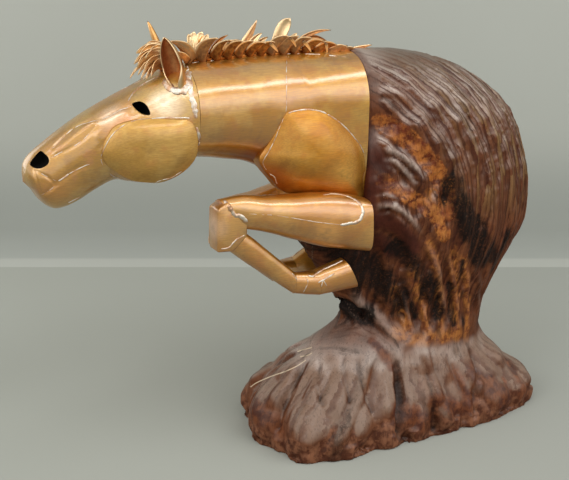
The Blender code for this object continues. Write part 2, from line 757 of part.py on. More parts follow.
def make_ear(side, head, neck):
    name = "ear_near" if side < 0 else "ear_far"
    foot_x, foot_z = head_point(0.075, 0.21)
    foot = Vector((foot_x, side * FACE_WIDTH * 0.33, foot_z))
    forward = EAR_FORWARD if side < 0 else EAR_FORWARD * FAR_EAR_SHARE
    upward = Vector((-forward, side * EAR_OUTWARD, 0.9)).normalized()
    outward = Vector((-0.45, side * 0.80, 0.0)).normalized()
    outward = (outward - upward * outward.dot(upward)).normalized()
    sideways = upward.cross(outward)
    grid = []
    for i in range(EAR_ROWS + 1):
        share = i / EAR_ROWS
        radius = EAR_WIDTH / 2 * (0.55 + 1.3 * share) * (1 - share) ** 0.62 + 0.6 * SHEET
        middle = foot + upward * EAR_LENGTH * (1.1 * share - 0.1) - outward * EAR_WIDTH * share * share / 3
        opening = blend(0.2, 1.25, ease(0.0, 0.35, share))
        line = []
        for j in range(EAR_COLUMNS + 1):
            angle = opening + (2 * HALF_TURN - 2 * opening) * j / EAR_COLUMNS
            turn = outward * math.cos(angle) + sideways * 0.85 * math.sin(angle)
            line.append(middle + turn * radius)
        grid.append(line)
    return trim(sheet_object(name, grid, COPPER, SHEET), head, neck)


def sheet_object(name, grid, look, thickness):
    """A curved sheet through a grid of points, given its thickness by Solidify."""
    work = bmesh.new()
    verts = [[work.verts.new(point) for point in line] for line in grid]
    for near_line, next_line in zip(verts, verts[1:]):
        for j in range(len(near_line) - 1):
            work.faces.new((near_line[j], near_line[j + 1], next_line[j + 1], next_line[j]))
    made = add_object(name, finish_mesh(work, name), look)
    wall = made.modifiers.new("wall", "SOLIDIFY")
    wall.thickness = thickness
    wall.offset = 0.0
    wall.use_even_offset = False
    return settle(made)


# The mane: a crest strip along the neck, cut into pointed leaves that are swept back and curl
# to both sides. Each row: foot as a share of the crest, then reach back, rise, lean to the far
# side, width and upward bow, all as shares of LOCK_HEIGHT except width, a share of LOCK_WIDTH.

MANE_LOCKS = (
    (0.010, -0.71, 0.60, -0.22, 0.85, -0.15),
    (0.025, 0.03, 0.86, 0.28, 0.75, 0.06),
    (0.045, 0.42, 0.82, 0.28, 0.72, 0.12),
    (0.052, 0.56, 0.60, -0.22, 0.85, 0.15),
    (0.105, 0.80, 0.62, 0.22, 0.58, 0.15),
    (0.140, 0.60, 0.54, -0.22, 0.65, 0.14),
    (0.235, 1.00, 1.04, 0.09, 0.58, -0.20),
    (0.250, 0.56, 0.54, -0.22, 0.65, 0.15),
    (0.326, 0.60, 0.46, -0.22, 0.62, 0.15),
    (0.376, 0.66, 0.61, 0.22, 0.62, 0.10),
    (0.410, 0.56, 0.40, -0.20, 0.55, 0.13),
    (0.505, 0.60, 0.56, -0.20, 0.95, 0.15),
    (0.528, 0.62, 1.10, 0.16, 0.90, 0.10),
    (0.620, 0.56, 0.42, -0.20, 0.85, 0.13),
    (0.640, 1.36, 0.58, 0.12, 0.52, 0.16),
    (0.700, 0.70, 0.32, -0.20, 0.60, 0.15),
    (0.725, 0.94, 0.28, 0.19, 0.62, 0.24),
    (0.790, 0.62, 0.22, -0.19, 0.60, 0.12),
    (0.875, 0.68, 0.16, -0.16, 0.52, 0.10),
    (0.950, 1.12, 0.07, 0.06, 0.36, 0.04),
)
# The forelock: each row is a foot and a tip as (ahead of the poll, side, above the crest),
# then width and bow, in shares of LOCK_HEIGHT.
FORELOCK_LOCKS = (
    ((0.04, 0.12, 0.08), (1.06, -0.28, -0.34), 0.26, 0.42),
    ((0.04, -0.10, 0.00), (0.92, -0.32, -0.32), 0.27, 0.34),
    ((0.04, -0.20, -0.06), (0.82, -0.46, -0.46), 0.27, 0.25),
    ((0.06, 0.02, 0.12), (0.84, 0.06, 0.26), 0.28, 0.26),
    ((0.04, 0.22, 0.00), (0.88, 0.46, -0.22), 0.26, 0.32),
)
POLL_SHARE = 0.100


def leaf_sheet(foot, tip, width, bow, steps=3):
    """A pointed, slightly cupped leaf of sheet whose spine is bowed upward between foot and tip."""
    chord = tip - foot
    lift = Vector((-chord.z, 0.0, chord.x)).normalized() * bow
    cup = Vector((0.0, 0.12 * width * (1 if tip.y < 0 else -1), 0.0))
    grid = []
    for i in range(steps + 1):
        share = i / steps
        middle = foot + chord * share + lift * 4 * share * (1 - share)
        tangent = chord + lift * 4 * (1 - 2 * share)
        across = tangent.cross(Vector((0.0, 1.0, 0.0))).normalized()
        half = width / 2 * (0.72 + 0.75 * share) * (1 - share ** 2.2) + 0.4 * SHEET
        grid.append([middle - across * half + cup, middle, middle + across * half + cup])
    return hide_as_cutter(sheet_object("lock", grid, DARK_COPPER, SHEET))


def rooted_locks(name, root, locks):
    """The locks fused to the root that holds them."""
    CUTTERS.objects.unlink(root)
    SCULPTURE.objects.link(root)
    root.hide_render = False
    root.display_type = "TEXTURED"
    root.data.materials.append(DARK_COPPER)
    root.name = name
    for lock in locks:
        boolean(root, lock, "UNION")
    return root


def make_mane(neck, chest, block):
    start = THROAT_X + 2 * CREST_WIDTH
    end = COLLAR_X - 5 * GAP
    low = CREST_Z - CREST_WIDTH
    half = CREST_WIDTH / 2
    root = box("mane_root", (start, -half, low), (end, half, CREST_Z + CREST_HEIGHT))
    locks = []
    for place, (share, back, rise, lean, width, bow) in enumerate(MANE_LOCKS):
        aside = math.copysign(0.55 * SHEET, lean)
        above = CREST_Z + SHEET * (1 + 0.2 * (place % 4))
        foot = Vector((blend(start, end, share), aside, above))
        tip = foot + Vector((back, lean, rise)) * LOCK_HEIGHT
        locks.append(leaf_sheet(foot, tip, width * LOCK_WIDTH, bow * LOCK_HEIGHT))
    return trim(rooted_locks("mane", root, locks), neck, chest, block)


def make_forelock(head):
    poll_x, poll_z = head_point(POLL_SHARE, 0.0)
    bpy.ops.mesh.primitive_uv_sphere_add(segments=10, ring_count=6, radius=1.0)
    root = bpy.context.object
    root.data.transform(Matrix.Diagonal((0.31, 0.375, 0.345, 1.0 / LOCK_HEIGHT)))
    root.data.transform(Matrix.Scale(LOCK_HEIGHT, 4))
    root.data.transform(Matrix.Translation((poll_x, 0.0, poll_z - 0.09 * LOCK_HEIGHT)))
    hide_as_cutter(root)
    locks = []
    for foot, tip, width, bow in FORELOCK_LOCKS:
        ends = [
            Vector((poll_x - ahead * LOCK_HEIGHT, aside * LOCK_HEIGHT, poll_z + above * LOCK_HEIGHT))
            for ahead, aside, above in (foot, tip)
        ]
        locks.append(leaf_sheet(*ends, width * LOCK_HEIGHT, -bow * LOCK_HEIGHT))
    return trim(rooted_locks("forelock", root, locks), head)


def main():
    block = make_block()
    neck = make_neck()
    chest = make_chest()
    head = make_head()
    near = Leg(-1, KNEE_REACH, KNEE_DROP, SHIN_RUN, SHIN_DROP, 8, ARM_DROP)
    far = Leg(1, FAR_KNEE_REACH, FAR_KNEE_DROP, FAR_SHIN_RUN, FAR_SHIN_DROP, 22, FAR_ARM_DROP)
    for side in (-1, 1):
        make_cheek(side, head, neck)
        shoulder = make_shoulder(side, neck, chest)
        make_ear(side, head, neck)
        leg = near if side < 0 else far
        knee = make_knee(leg)
        make_forearm(leg, knee, chest, shoulder, neck, block)
        make_cannon(leg, knee)
        make_fetlock(leg)
        make_hoof(leg)
    make_mane(neck, chest, block)
    make_forelock(head)


main()
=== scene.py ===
"""Leaping horse: forequarters in golden sheet copper, coming out of a gouged and stained block."""

import math
from functools import partial

import bmesh
import bpy
import numpy as np
from mathutils import Matrix, Vector, noise
from mathutils.bvhtree import BVHTree


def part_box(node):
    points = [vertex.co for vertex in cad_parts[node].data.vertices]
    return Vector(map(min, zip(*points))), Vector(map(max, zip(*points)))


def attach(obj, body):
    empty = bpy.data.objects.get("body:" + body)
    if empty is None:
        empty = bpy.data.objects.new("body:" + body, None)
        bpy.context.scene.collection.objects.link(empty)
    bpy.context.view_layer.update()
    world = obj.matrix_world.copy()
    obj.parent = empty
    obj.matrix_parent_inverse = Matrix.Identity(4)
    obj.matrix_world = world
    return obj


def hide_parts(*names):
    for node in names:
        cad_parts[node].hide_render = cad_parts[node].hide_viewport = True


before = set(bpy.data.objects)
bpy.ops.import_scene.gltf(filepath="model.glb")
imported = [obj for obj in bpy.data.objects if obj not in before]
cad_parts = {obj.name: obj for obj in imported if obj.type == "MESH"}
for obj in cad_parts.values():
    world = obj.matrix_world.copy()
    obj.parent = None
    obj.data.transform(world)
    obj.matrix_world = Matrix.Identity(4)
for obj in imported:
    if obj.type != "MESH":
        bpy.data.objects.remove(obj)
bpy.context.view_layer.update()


# The camera stands on the near side, a little ahead of the chest and above it, and looks down
# on the horse with a long lens. Points can be picked through the pixels of its picture.
view_turn = math.radians(-26)
view_rise = math.radians(17)
aim = Vector((-0.252, 0.0, 0.428))
eye_distance = 2.4
picture_width, picture_height = 569, 480
focal_pixels = 1200
sensor_width = 36


def from_angles(turn, rise):
    """The direction that lies at a turn and a rise, in radians, as seen from the sculpture."""
    return Vector((math.sin(turn) * math.cos(rise), -math.cos(turn) * math.cos(rise), math.sin(rise)))


eye_back = from_angles(view_turn, view_rise)
camera_right = Vector((math.cos(view_turn), math.sin(view_turn), 0))
camera_up = eye_back.cross(camera_right)
eye = aim + eye_back * eye_distance
lens = bpy.data.cameras.new("camera")
lens.sensor_width = sensor_width
lens.lens = sensor_width * focal_pixels / picture_width
camera = bpy.data.objects.new("camera", lens)
camera.location = eye
camera.rotation_euler = (math.radians(90) - view_rise, 0, view_turn)
bpy.context.scene.collection.objects.link(camera)
bpy.context.scene.camera = camera


def sight(pixel):
    """Direction from the camera through a pixel of its picture."""
    right = pixel[0] - picture_width / 2
    down = pixel[1] - picture_height / 2
    return camera_right * right - camera_up * down - eye_back * focal_pixels


def at_depth(pixel, y):
    """The point behind a pixel in the upright plane y."""
    ray = sight(pixel)
    return eye + ray * ((y - eye.y) / ray.y)


# Studio: a grey-green paper floor and wall, softboxes above and beside the camera, and a bright,
# even room round them that the metal mirrors.
def linear(code):
    """Linear colour from an sRGB hex value."""
    parts = [int(code[k : k + 2], 16) / 255 for k in (1, 3, 5)]
    return tuple(c / 12.92 if c <= 0.04045 else ((c + 0.055) / 1.055) ** 2.4 for c in parts) + (1,)


def add(tree, kind, inputs=None, **settings):
    """A node with its settings, each input given as a value or as the socket that feeds it."""
    node = tree.nodes.new(kind)
    for name, value in settings.items():
        setattr(node, name, value)
    for key, value in (inputs or {}).items():
        if isinstance(value, bpy.types.NodeSocket):
            tree.links.new(value, node.inputs[key])
        else:
            node.inputs[key].default_value = value
    return node


def new_material(name):
    """An empty node tree with its output, and the place on the piece that patterns follow."""
    made = bpy.data.materials.new(name)
    made.use_nodes = True
    tree = made.node_tree
    tree.nodes.clear()
    out = add(tree, "ShaderNodeOutputMaterial")
    return made, tree, out, add(tree, "ShaderNodeTexCoord").outputs["Object"]


def noise_of(tree, place, scale, detail=2.0, roughness=0.5):
    """Cloudy noise from 0 to 1."""
    inputs = {"Vector": place, "Scale": scale, "Detail": detail, "Roughness": roughness}
    return add(tree, "ShaderNodeTexNoise", inputs).outputs["Fac"]


def between(tree, value, low, high, start=0.0, end=1.0, form="SMOOTHSTEP"):
    """A ramp from start to end as the value goes from low to high."""
    inputs = {"Value": value, "From Min": low, "From Max": high, "To Min": start, "To Max": end}
    return add(tree, "ShaderNodeMapRange", inputs, interpolation_type=form).outputs[0]


def times(tree, *values):
    """The product of the values."""
    total = values[0]
    for value in values[1:]:
        total = add(tree, "ShaderNodeMath", {0: total, 1: value}, operation="MULTIPLY").outputs[0]
    return total


def mix(tree, factor, first, second):
    """Colour output of a mix of two colours, each a hex value or a socket."""
    node = add(tree, "ShaderNodeMix", {0: factor}, data_type="RGBA")
    sockets = [s for s in node.inputs if s.type == "RGBA"]
    for socket, colour in zip(sockets, (first, second)):
        if isinstance(colour, str):
            socket.default_value = linear(colour)
        else:
            tree.links.new(colour, socket)
    return [s for s in node.outputs if s.type == "RGBA"][0]


def set_down(name, work, materials):
    """The finished mesh as an object of the scene."""
    for face in work.faces:
        face.smooth = True
    mesh = bpy.data.meshes.new(name)
    work.to_mesh(mesh)
    work.free()
    for item in materials:
        mesh.materials.append(item)
    made = bpy.data.objects.new(name, mesh)
    bpy.context.scene.collection.objects.link(made)
    return made


def paper_material(name, codes, bands, see_through):
    """Matt background paper, faintly mottled. Its tone changes softly along a direction: bands
    are places along it in metres, one for each colour after the first. The wall can be looked
    through from behind."""
    made, tree, out, place = new_material(name)
    colour = codes[0]
    for code, (direction, low, high) in zip(codes[1:], bands):
        reach = add(tree, "ShaderNodeVectorMath", {0: place, 1: direction}, operation="DOT_PRODUCT")
        colour = mix(tree, between(tree, reach.outputs["Value"], low, high), colour, code)
    mottled = noise_of(tree, place, 1.6, 3.0)
    colour = mix(tree, times(tree, mottled, 0.12), colour, "#8E9086")
    surface = add(tree, "ShaderNodeBsdfDiffuse", {"Color": colour, "Roughness": 0.6}).outputs[0]
    if see_through:
        behind = add(tree, "ShaderNodeNewGeometry").outputs["Backfacing"]
        clear = add(tree, "ShaderNodeBsdfTransparent").outputs[0]
        surface = add(tree, "ShaderNodeMixShader", {0: behind, 1: surface, 2: clear}).outputs[0]
    tree.links.new(surface, out.inputs["Surface"])
    return made


floor_work = bmesh.new()
bmesh.ops.create_grid(floor_work, x_segments=8, y_segments=8, size=7.0)
camera_side = Vector((math.sin(view_turn), -math.cos(view_turn), 0))
# The floor darkens slightly towards the camera and to the right: painted shade where less light falls.
floor_paper = paper_material(
    "background_paper_floor",
    ("#A8ABA4", "#A4A7A0", "#A5A8A2"),
    ((tuple(camera_side), 0.1, 0.9), (tuple(camera_right), -0.3, 0.7)),
    False,
)
floor = set_down("floor", floor_work, [floor_paper])

# The wall stands behind the sculpture and sweeps up from the floor over its first few rows.
wall_rows, sweep_rows = 24, 6
wall_width, wall_distance, sweep_radius, row_height = 9, 1.12, 0.09, 0.16
wall_work = bmesh.new()
bmesh.ops.create_grid(wall_work, x_segments=4, y_segments=wall_rows, size=0.5)
for vert in wall_work.verts:
    row = (vert.co.y + 0.5) * wall_rows
    sweep = min(row / sweep_rows, 1.0) * math.pi / 2
    rise = sweep_radius * (1 - math.cos(sweep)) + max(row - sweep_rows, 0) * row_height
    vert.co = Vector((vert.co.x * wall_width, wall_distance + sweep_radius * math.sin(sweep), rise + 0.0005))
bmesh.ops.rotate(wall_work, verts=wall_work.verts, matrix=Matrix.Rotation(view_turn, 3, "Z"))
bmesh.ops.translate(wall_work, verts=wall_work.verts, vec=(aim.x, aim.y, 0))
straight_up = (0, 0, 1)
# The wall is paler in a thin band at its foot, a painted highlight on the turned-up paper, and paler again
# higher up.
wall_paper = paper_material(
    "background_paper_wall",
    ("#B6B9B3", "#A9ADA8", "#ABAFAA", "#BEC1BB"),
    ((straight_up, 0.010, 0.016), (straight_up, 0.03, 0.12), (straight_up, 0.14, 0.42)),
    True,
)
wall = set_down("backdrop", wall_work, [wall_paper])

# Softboxes: turn and rise in degrees as seen from the sculpture, distance, size and power.
softboxes = (
    ("key_softbox", 27, 50, 3.0, (3.2, 0.42), 21),
    ("front_fill", 24, 22, 3.2, (2.8, 1.3), 14),
    ("left_fill", -60, 30, 3.0, (1.6, 1.6), 13),
    ("overhead_left", -60, 60, 2.6, (1.8, 0.35), 7),
    ("rear_left_fill", -146, 14, 1.9, (0.9, 0.9), 4),
)
for name, turn, rise, distance, size, power in softboxes:
    panel = bpy.data.lights.new(name, "AREA")
    panel.shape = "RECTANGLE"
    panel.size, panel.size_y = size
    panel.energy = power
    back = from_angles(math.radians(turn), math.radians(rise))
    light = bpy.data.objects.new(name, panel)
    light.location = aim + back * distance
    light.rotation_euler = back.to_track_quat("Z", "Y").to_euler()
    light.visible_camera = False
    bpy.context.scene.collection.objects.link(light)

# The ceiling is darker than the walls, so the crest of the neck mirrors less light than its side.
room = bpy.data.worlds.new("room")
room.use_nodes = True
room_tree = room.node_tree
looking = add(room_tree, "ShaderNodeTexCoord").outputs["Generated"]
height = add(room_tree, "ShaderNodeSeparateXYZ", {0: looking}).outputs["Z"]
glow = between(room_tree, height, 0.25, 0.95, 1.12, 0.78, "LINEAR")
room_tree.nodes["Background"].inputs["Color"].default_value = linear("#F4F2EC")
room_tree.links.new(glow, room_tree.nodes["Background"].inputs["Strength"])
bpy.context.scene.world = room
bpy.context.scene.view_settings.view_transform = "Standard"


# The block: one piece of hardwood, stained dark walnut and varnished, carved with a gouge.
# Long strokes sweep back from the collar and down to the waist; two scooped hollows left
# rough and orange part the smooth petals beside the copper; the lobed base is cut upright.
def ease(low, high, value):
    """A smooth step from 0 at low to 1 at high."""
    share = np.clip((value - low) / (high - low), 0.0, 1.0)
    return share * share * (3 - 2 * share)


def settled(item):
    """The object with its modifiers carried out."""
    bpy.context.view_layer.update()
    graph = bpy.context.evaluated_depsgraph_get()
    mesh = bpy.data.meshes.new_from_object(item.evaluated_get(graph))
    item.modifiers.clear()
    item.data = mesh
    return item


def tree_of(*items):
    """A search tree over the skins of finished pieces."""
    verts, faces = [], []
    for item in items:
        base = len(verts)
        verts += [v.co.copy() for v in item.data.vertices]
        faces += [[base + k for k in face.vertices] for face in item.data.polygons]
    return BVHTree.FromPolygons(verts, faces)


def seen(skin, pixels):
    """Where the sight lines through pixels of the camera's picture meet a skin."""
    found = [skin.ray_cast(eye, sight(pixel).normalized())[0] for pixel in pixels]
    return [point for point in found if point is not None]


def curve(a, b, c, d, t):
    """A place between b and c, at a share t, on the smooth curve that runs on to a and d."""
    bend, twist = 2 * a - 5 * b + 4 * c - d, 3 * b - a - 3 * c + d
    return 0.5 * (2 * b + (c - a) * t + bend * t * t + twist * t ** 3)


def smooth_line(points, steps):
    """A curve through points, each one a tuple or a vector, with steps between neighbours."""
    points = [Vector(point) for point in points]
    ends = [2 * points[0] - points[1]] + points + [2 * points[-1] - points[-2]]
    line = [curve(*near, k / steps) for near in zip(ends, ends[1:], ends[2:], ends[3:]) for k in range(steps)]
    return line + [points[-1]]


def away_from(line, places):
    """Distance of each place from a broken line, and how far along it, from 0 to 1."""
    best = np.full(len(places), 9.0)
    share = np.zeros(len(places))
    for k, (start, end) in enumerate(zip(line, line[1:])):
        start, step = np.array(start), np.array(end - start)
        t = np.clip((places - start) @ step / max(step @ step, 1e-12), 0, 1)
        gap = np.linalg.norm(places - start - t[:, None] * step, axis=1)
        nearer = gap < best
        best = np.where(nearer, gap, best)
        share = np.where(nearer, (k + t) / (len(line) - 1), share)
    return best, share


def clouds(places, size, seed):
    """Smooth noise from -1 to 1 with features of the given size."""
    shift = Vector((seed * 7.3, seed * 3.1, seed * 5.7))
    return np.array([noise.noise(Vector(place) / size + shift) for place in places])


def numbers_of(items, name, size, kind=float):
    """A row of numbers for each corner or edge of a mesh."""
    values = np.zeros(len(items) * size, dtype=kind)
    items.foreach_get(name, values)
    return values.reshape(-1, size)


wood_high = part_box("carved_wood_block")[1]
collar_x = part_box("chest_drum")[1].x + 0.0004
seat_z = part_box("chest_drum")[0].z - 0.0004
block_work = bmesh.new()
block_work.from_mesh(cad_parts["carved_wood_block"].data)
bmesh.ops.remove_doubles(block_work, verts=block_work.verts, dist=0.00001)
block = set_down("carved_block", block_work, [])
even_step = 0.0039
even_skin = block.modifiers.new("even_skin", "REMESH")
even_skin.mode = "VOXEL"
even_skin.voxel_size = even_step
melt = block.modifiers.new("soft_facets", "SMOOTH")
melt.factor = 0.5
melt.iterations = 9
settled(block)
block.data.shade_smooth()
block_skin = tree_of(block)
count = len(block.data.vertices)
place = numbers_of(block.data.vertices, "co", 3)
facing = numbers_of(block.data.vertices, "normal", 3)
pairs = numbers_of(block.data.edges, "vertices", 2, np.int32)
touching = np.bincount(pairs.ravel(), minlength=count)
x, y, z = place.T
folded = np.stack([x, -np.abs(y), z], 1)
wander = clouds(folded, 0.05, 1)

# Heights in metres: the trunk begins above the waist, and the strokes fade in over it.
trunk = ease(0.165, 0.215, z)
above_waist = ease(0.19, 0.25, z)
on_trunk = z > 0.19
base_half_x, base_half_y = 0.316, 0.152
base_turn = np.abs(np.arctan2(y / base_half_y, x / base_half_x))
base_reach = np.hypot(x / base_half_x, y / base_half_y)


def flat_on_skin(vectors):
    """Vectors without their part that points out of the skin."""
    return vectors - facing * (vectors * facing).sum(1)[:, None]


def unit(vectors):
    """Vectors one metre long."""
    return vectors / np.maximum(np.linalg.norm(vectors, axis=1), 1e-6)[:, None]


# Where each corner lies in the carving, in metres. The strokes ring round a line low in front of
# the dome and hang straight down below it, so one number counts across them and one along them.
# On the base they spread outward and down.
ring_x, ring_z, ring_spread = -0.30, 0.48, 0.16
level_reach = x - ring_x + ring_spread - np.abs(y)
above_ring = np.maximum(z - ring_z, 0)
across = np.hypot(level_reach, above_ring)
along = across * np.arctan2(level_reach, above_ring) + np.maximum(ring_z - z, 0)
fall = np.cross(facing, flat_on_skin(np.stack([level_reach, -np.sign(y) * level_reach, above_ring], 1)))
fall = unit(fall * np.where(fall[:, 2] > 0, -1, 1)[:, None])
spread = unit(np.stack([x * 0.6, y, np.full(count, -0.10)], 1))
flow = unit(flat_on_skin(fall * trunk[:, None] + spread * (1 - trunk)[:, None]))
aside_flow = np.cross(facing, flow)


def evened(values, rounds=1):
    """Values drawn halfway towards the mean of their neighbours, a number of times over."""
    for step in range(rounds):
        near = np.zeros(count)
        for here, there in ((0, 1), (1, 0)):
            near += np.bincount(pairs[:, here], values[pairs[:, there]], count)
        values = 0.5 * values + 0.5 * near / touching
    return values


def slanted(a, b):
    """A gouge cut, deepest along its upper side, so that its face catches the light from above."""
    return ((1 + b) / 2) ** 1.3 * (1 - ease(0.93, 1.0, b)) * ease(0.0, 0.30, a) * (1 - ease(0.82, 1.0, a))


def swelling(a, b):
    """A smooth plate that swells towards its lower end."""
    return (1 - b * b) ** 0.8 * ease(0.0, 0.60, a) * (1 - ease(0.66, 1.0, a))


draw = np.random.RandomState(11)
by_level = np.argsort(z)


def gouged(tries, where, length, width, size, form):
    """How far rows of gouge strokes change the surface, and two numbers from 0 to 1 kept from
    the strongest one: its own shade, and the place across it. Length, width and size are drawn
    between two limits, and form gives the shape of a stroke along and across it. A try that
    falls too near a stroke already there is left out, so that they lie evenly."""
    change = np.zeros(count)
    shade = np.full(count, 0.5)
    lane = np.zeros(count)
    done = np.zeros((0, 3))
    rows = np.flatnonzero(where)
    for start in draw.choice(rows, min(tries, len(rows)), replace=False):
        long, wide, most = (draw.uniform(*limits) for limits in (length, width, size))
        sway = draw.uniform(-0.06, 0.06)
        tone = draw.uniform()
        ahead = flow[start] * math.cos(sway) + aside_flow[start] * math.sin(sway)
        aside = np.cross(facing[start], ahead) * (1 if y[start] < 0 else -1)
        others = done - place[start]
        near = (others @ ahead / (0.66 * long)) ** 2 + (others @ aside / (0.70 * wide)) ** 2
        if (near + (others @ facing[start] / 0.03) ** 2 < 1).any():
            continue
        done = np.vstack([done, place[start]])
        level = z[start] + np.array((-0.5, 0.5)) * (long + 0.02)
        first, last = np.searchsorted(z, level, sorter=by_level)
        close = by_level[first:last]
        close = close[np.abs(x[close] - x[start]) < long / 2 + 0.01]
        gap = place[close] - place[start]
        a = gap @ ahead / long + 0.5
        b = gap @ aside / wide * 2
        inside = (a > 0) & (a < 1) & (np.abs(b) < 1) & (np.abs(gap @ facing[start]) < 0.03)
        close, a, b = close[inside], a[inside], b[inside]
        here = most * form(a, b)
        stronger = here > change[close]
        change[close[stronger]] = here[stronger]
        shade[close[stronger]] = tone
        lane[close[stronger]] = (0.5 + 0.5 * b[stronger]) * ease(0.05, 0.30, a[stronger])
    return evened(change), shade, evened(lane)


def stripe(lines, ragged, grow=1.0):
    """Soft bands along pixel lines, each with its half width in metres, with broken edges."""
    total = np.zeros(count)
    for pixels, width in lines:
        gap = away_from(smooth_line(seen(block_skin, pixels), 4), folded)[0]
        total = np.maximum(total, 1 - ease(0.35, 1.3, gap / (width * grow) + ragged))
    return total


crumbs = 0.35 * clouds(folded, 0.020, 3) + 0.30 * clouds(folded, 0.008, 5)
hollow_lines = (
    (((382, 122), (396, 131), (410, 141), (424, 155), (436, 172), (444, 190), (448, 212)), 0.022),
    (((383, 180), (395, 189), (410, 197), (426, 207), (438, 220), (446, 236)), 0.016),
)
petal_lines = (
    (((373, 78), (375, 100), (373, 128)), 0.013),
    (((371, 146), (378, 160), (384, 172), (376, 188)), 0.018),
    (((374, 222), (388, 222), (402, 232), (414, 248)), 0.022),
    (((376, 240), (392, 250)), 0.022),
)
hollow = stripe(hollow_lines, crumbs * 0.7)
beside_collar = 1 - ease(0.010, 0.024, x - collar_x + 0.006 * wander)
smooth_wood = np.maximum(stripe(petal_lines, 0.08 * wander), beside_collar * ease(seat_z - 0.03, seat_z, z))

# Ridges: pixels along the crest, height and half width in metres, how many notches a metre and
# how strong the painted sheen lies on them.
ridges = (
    (((383, 149), (392, 151), (403, 157), (414, 166), (424, 176)), 0.0042, 0.0105, 80, 1.0),
    (((389, 158), (398, 164), (407, 174), (417, 188)), 0.0036, 0.0078, 30, 0.9),
    (((373, 210), (388, 206), (402, 211), (414, 222), (424, 237)), 0.0030, 0.0085, 60, 0.75),
    (((424, 237), (433, 256), (440, 276), (443, 300), (447, 328)), 0.0044, 0.010, 0, 0.20),
    (((447, 240), (452, 272), (457, 302), (460, 332)), 0.0042, 0.008, 0, 0.05),
    (((466, 258), (468, 290), (469, 330)), 0.0036, 0.008, 0, 0.05),
    (((480, 268), (479, 296), (478, 326)), 0.0026, 0.008, 0, 0.10),
    (((399, 286), (409, 318), (416, 340)), 0.0042, 0.008, 0, 0.05),
    (((416, 284), (425, 316), (432, 338)), 0.0042, 0.008, 0, 0.05),
    (((347, 292), (360, 303), (375, 316), (389, 330), (402, 344)), 0.0055, 0.016, 14, 0.60),
)
crest, pale, lift = np.zeros((3, count))
for pixels, height, width, notches, shine in ridges:
    line = smooth_line(seen(block_skin, pixels), 4)
    length = sum((b - a).length for a, b in zip(line, line[1:]))
    gap, share = away_from(line, folded)
    ends = ease(0.0, 0.22, share) * (1 - ease(0.70, 1.0, share))
    rib = (1 - ease(0.0, width, gap)) * ends
    wave = 0.87 + 0.13 * np.cos(share * length * notches * 2 * math.pi + 4 * wander)
    trough = (1 - ease(0.2 * width, 0.9 * width, np.abs(gap - width * 1.35))) * ends
    lift += height * (rib * wave - 0.60 * trough)
    crest = np.maximum(crest, rib)
    pale = np.maximum(pale, rib * shine * wave)
recess = stripe(((((341, 303), (351, 309), (363, 314)), 0.0125),), 0.3 * wander)

# Creases between the lobes and plates of the base: pixels, depth and half width in metres.
base_creases = (
    (((306, 354), (298, 372), (288, 392), (280, 410), (275, 430)), 0.0130, 0.016),
    (((320, 352), (319, 372), (318, 390), (324, 404)), 0.0055, 0.010),
    (((342, 350), (345, 376), (350, 400)), 0.0050, 0.010),
    (((356, 350), (360, 376), (368, 398), (372, 412)), 0.0060, 0.010),
    (((392, 352), (398, 380), (400, 410), (399, 436)), 0.0090, 0.014),
    (((420, 352), (428, 376), (434, 404), (435, 430)), 0.0060, 0.012),
    (((444, 350), (456, 376), (464, 400), (465, 420)), 0.0060, 0.012),
    (((470, 346), (478, 364), (476, 390), (475, 416)), 0.0070, 0.012),
)

# Strokes on the trunk, flutes on the base and nicks over the flutes.
strokes, stroke_tone, stroke_lane = gouged(
    7000, z > 0.20, (0.070, 0.140), (0.012, 0.019), (0.0030, 0.0050), slanted
)
on_base = z < 0.175
flutes, flute_tone = gouged(1600, on_base, (0.100, 0.170), (0.036, 0.060), (0.0070, 0.0110), swelling)[:2]
nicks = gouged(900, on_base, (0.040, 0.080), (0.014, 0.026), (0.0010, 0.0020), slanted)[0]
near_top = ease(0.762, 0.80, z + 0.01 * wander)
quiet = (1 - 0.9 * smooth_wood) * (1 - 0.8 * hollow) * (1 - 0.9 * crest) * (1 - 0.9 * near_top)
rough = hollow * (1 - crest) * (0.0015 * clouds(folded, 0.012, 6) + 0.0011 * clouds(folded, 0.006, 7))
depth = trunk * (strokes * quiet * above_waist - lift - rough)
depth = depth + (1 - trunk) * (0.0060 - flutes + 0.8 * nicks - lift * 0.5)
for pixels, deep, width in base_creases:
    gap, share = away_from(smooth_line(seen(block_skin, pixels), 4), folded)
    depth += deep * (1 - ease(0.0, width, gap)) * ease(0.0, 0.2, share)
depth += 0.016 * recess * (facing[:, 1] * np.sign(y) > -0.2)
notch = 0.010 * ease(0.45, 1.0, np.cos(base_turn * 15 + 1.8 * np.sin(base_turn * 3.3 + 0.5)))
depth += notch * (1 - ease(0.004, 0.030, z)) * (facing[:, 2] > -0.5)

# The underside and the seat of the copper stay as they are.
open_skin = (facing[:, 2] > -0.55) | (z > 0.01)
seat = ((np.abs(x - collar_x) < 0.004) | (x < collar_x)) & (z > seat_z - 0.006)
depth = np.where(open_skin & ~seat, depth, 0)
moved = place - facing * depth[:, None]
moved[:, 2] = np.clip(moved[:, 2], 0.0, wood_high.z)
moved[:, 0] = np.minimum(moved[:, 0], wood_high.x)
block.data.vertices.foreach_set("co", moved.ravel())
block.data.update()
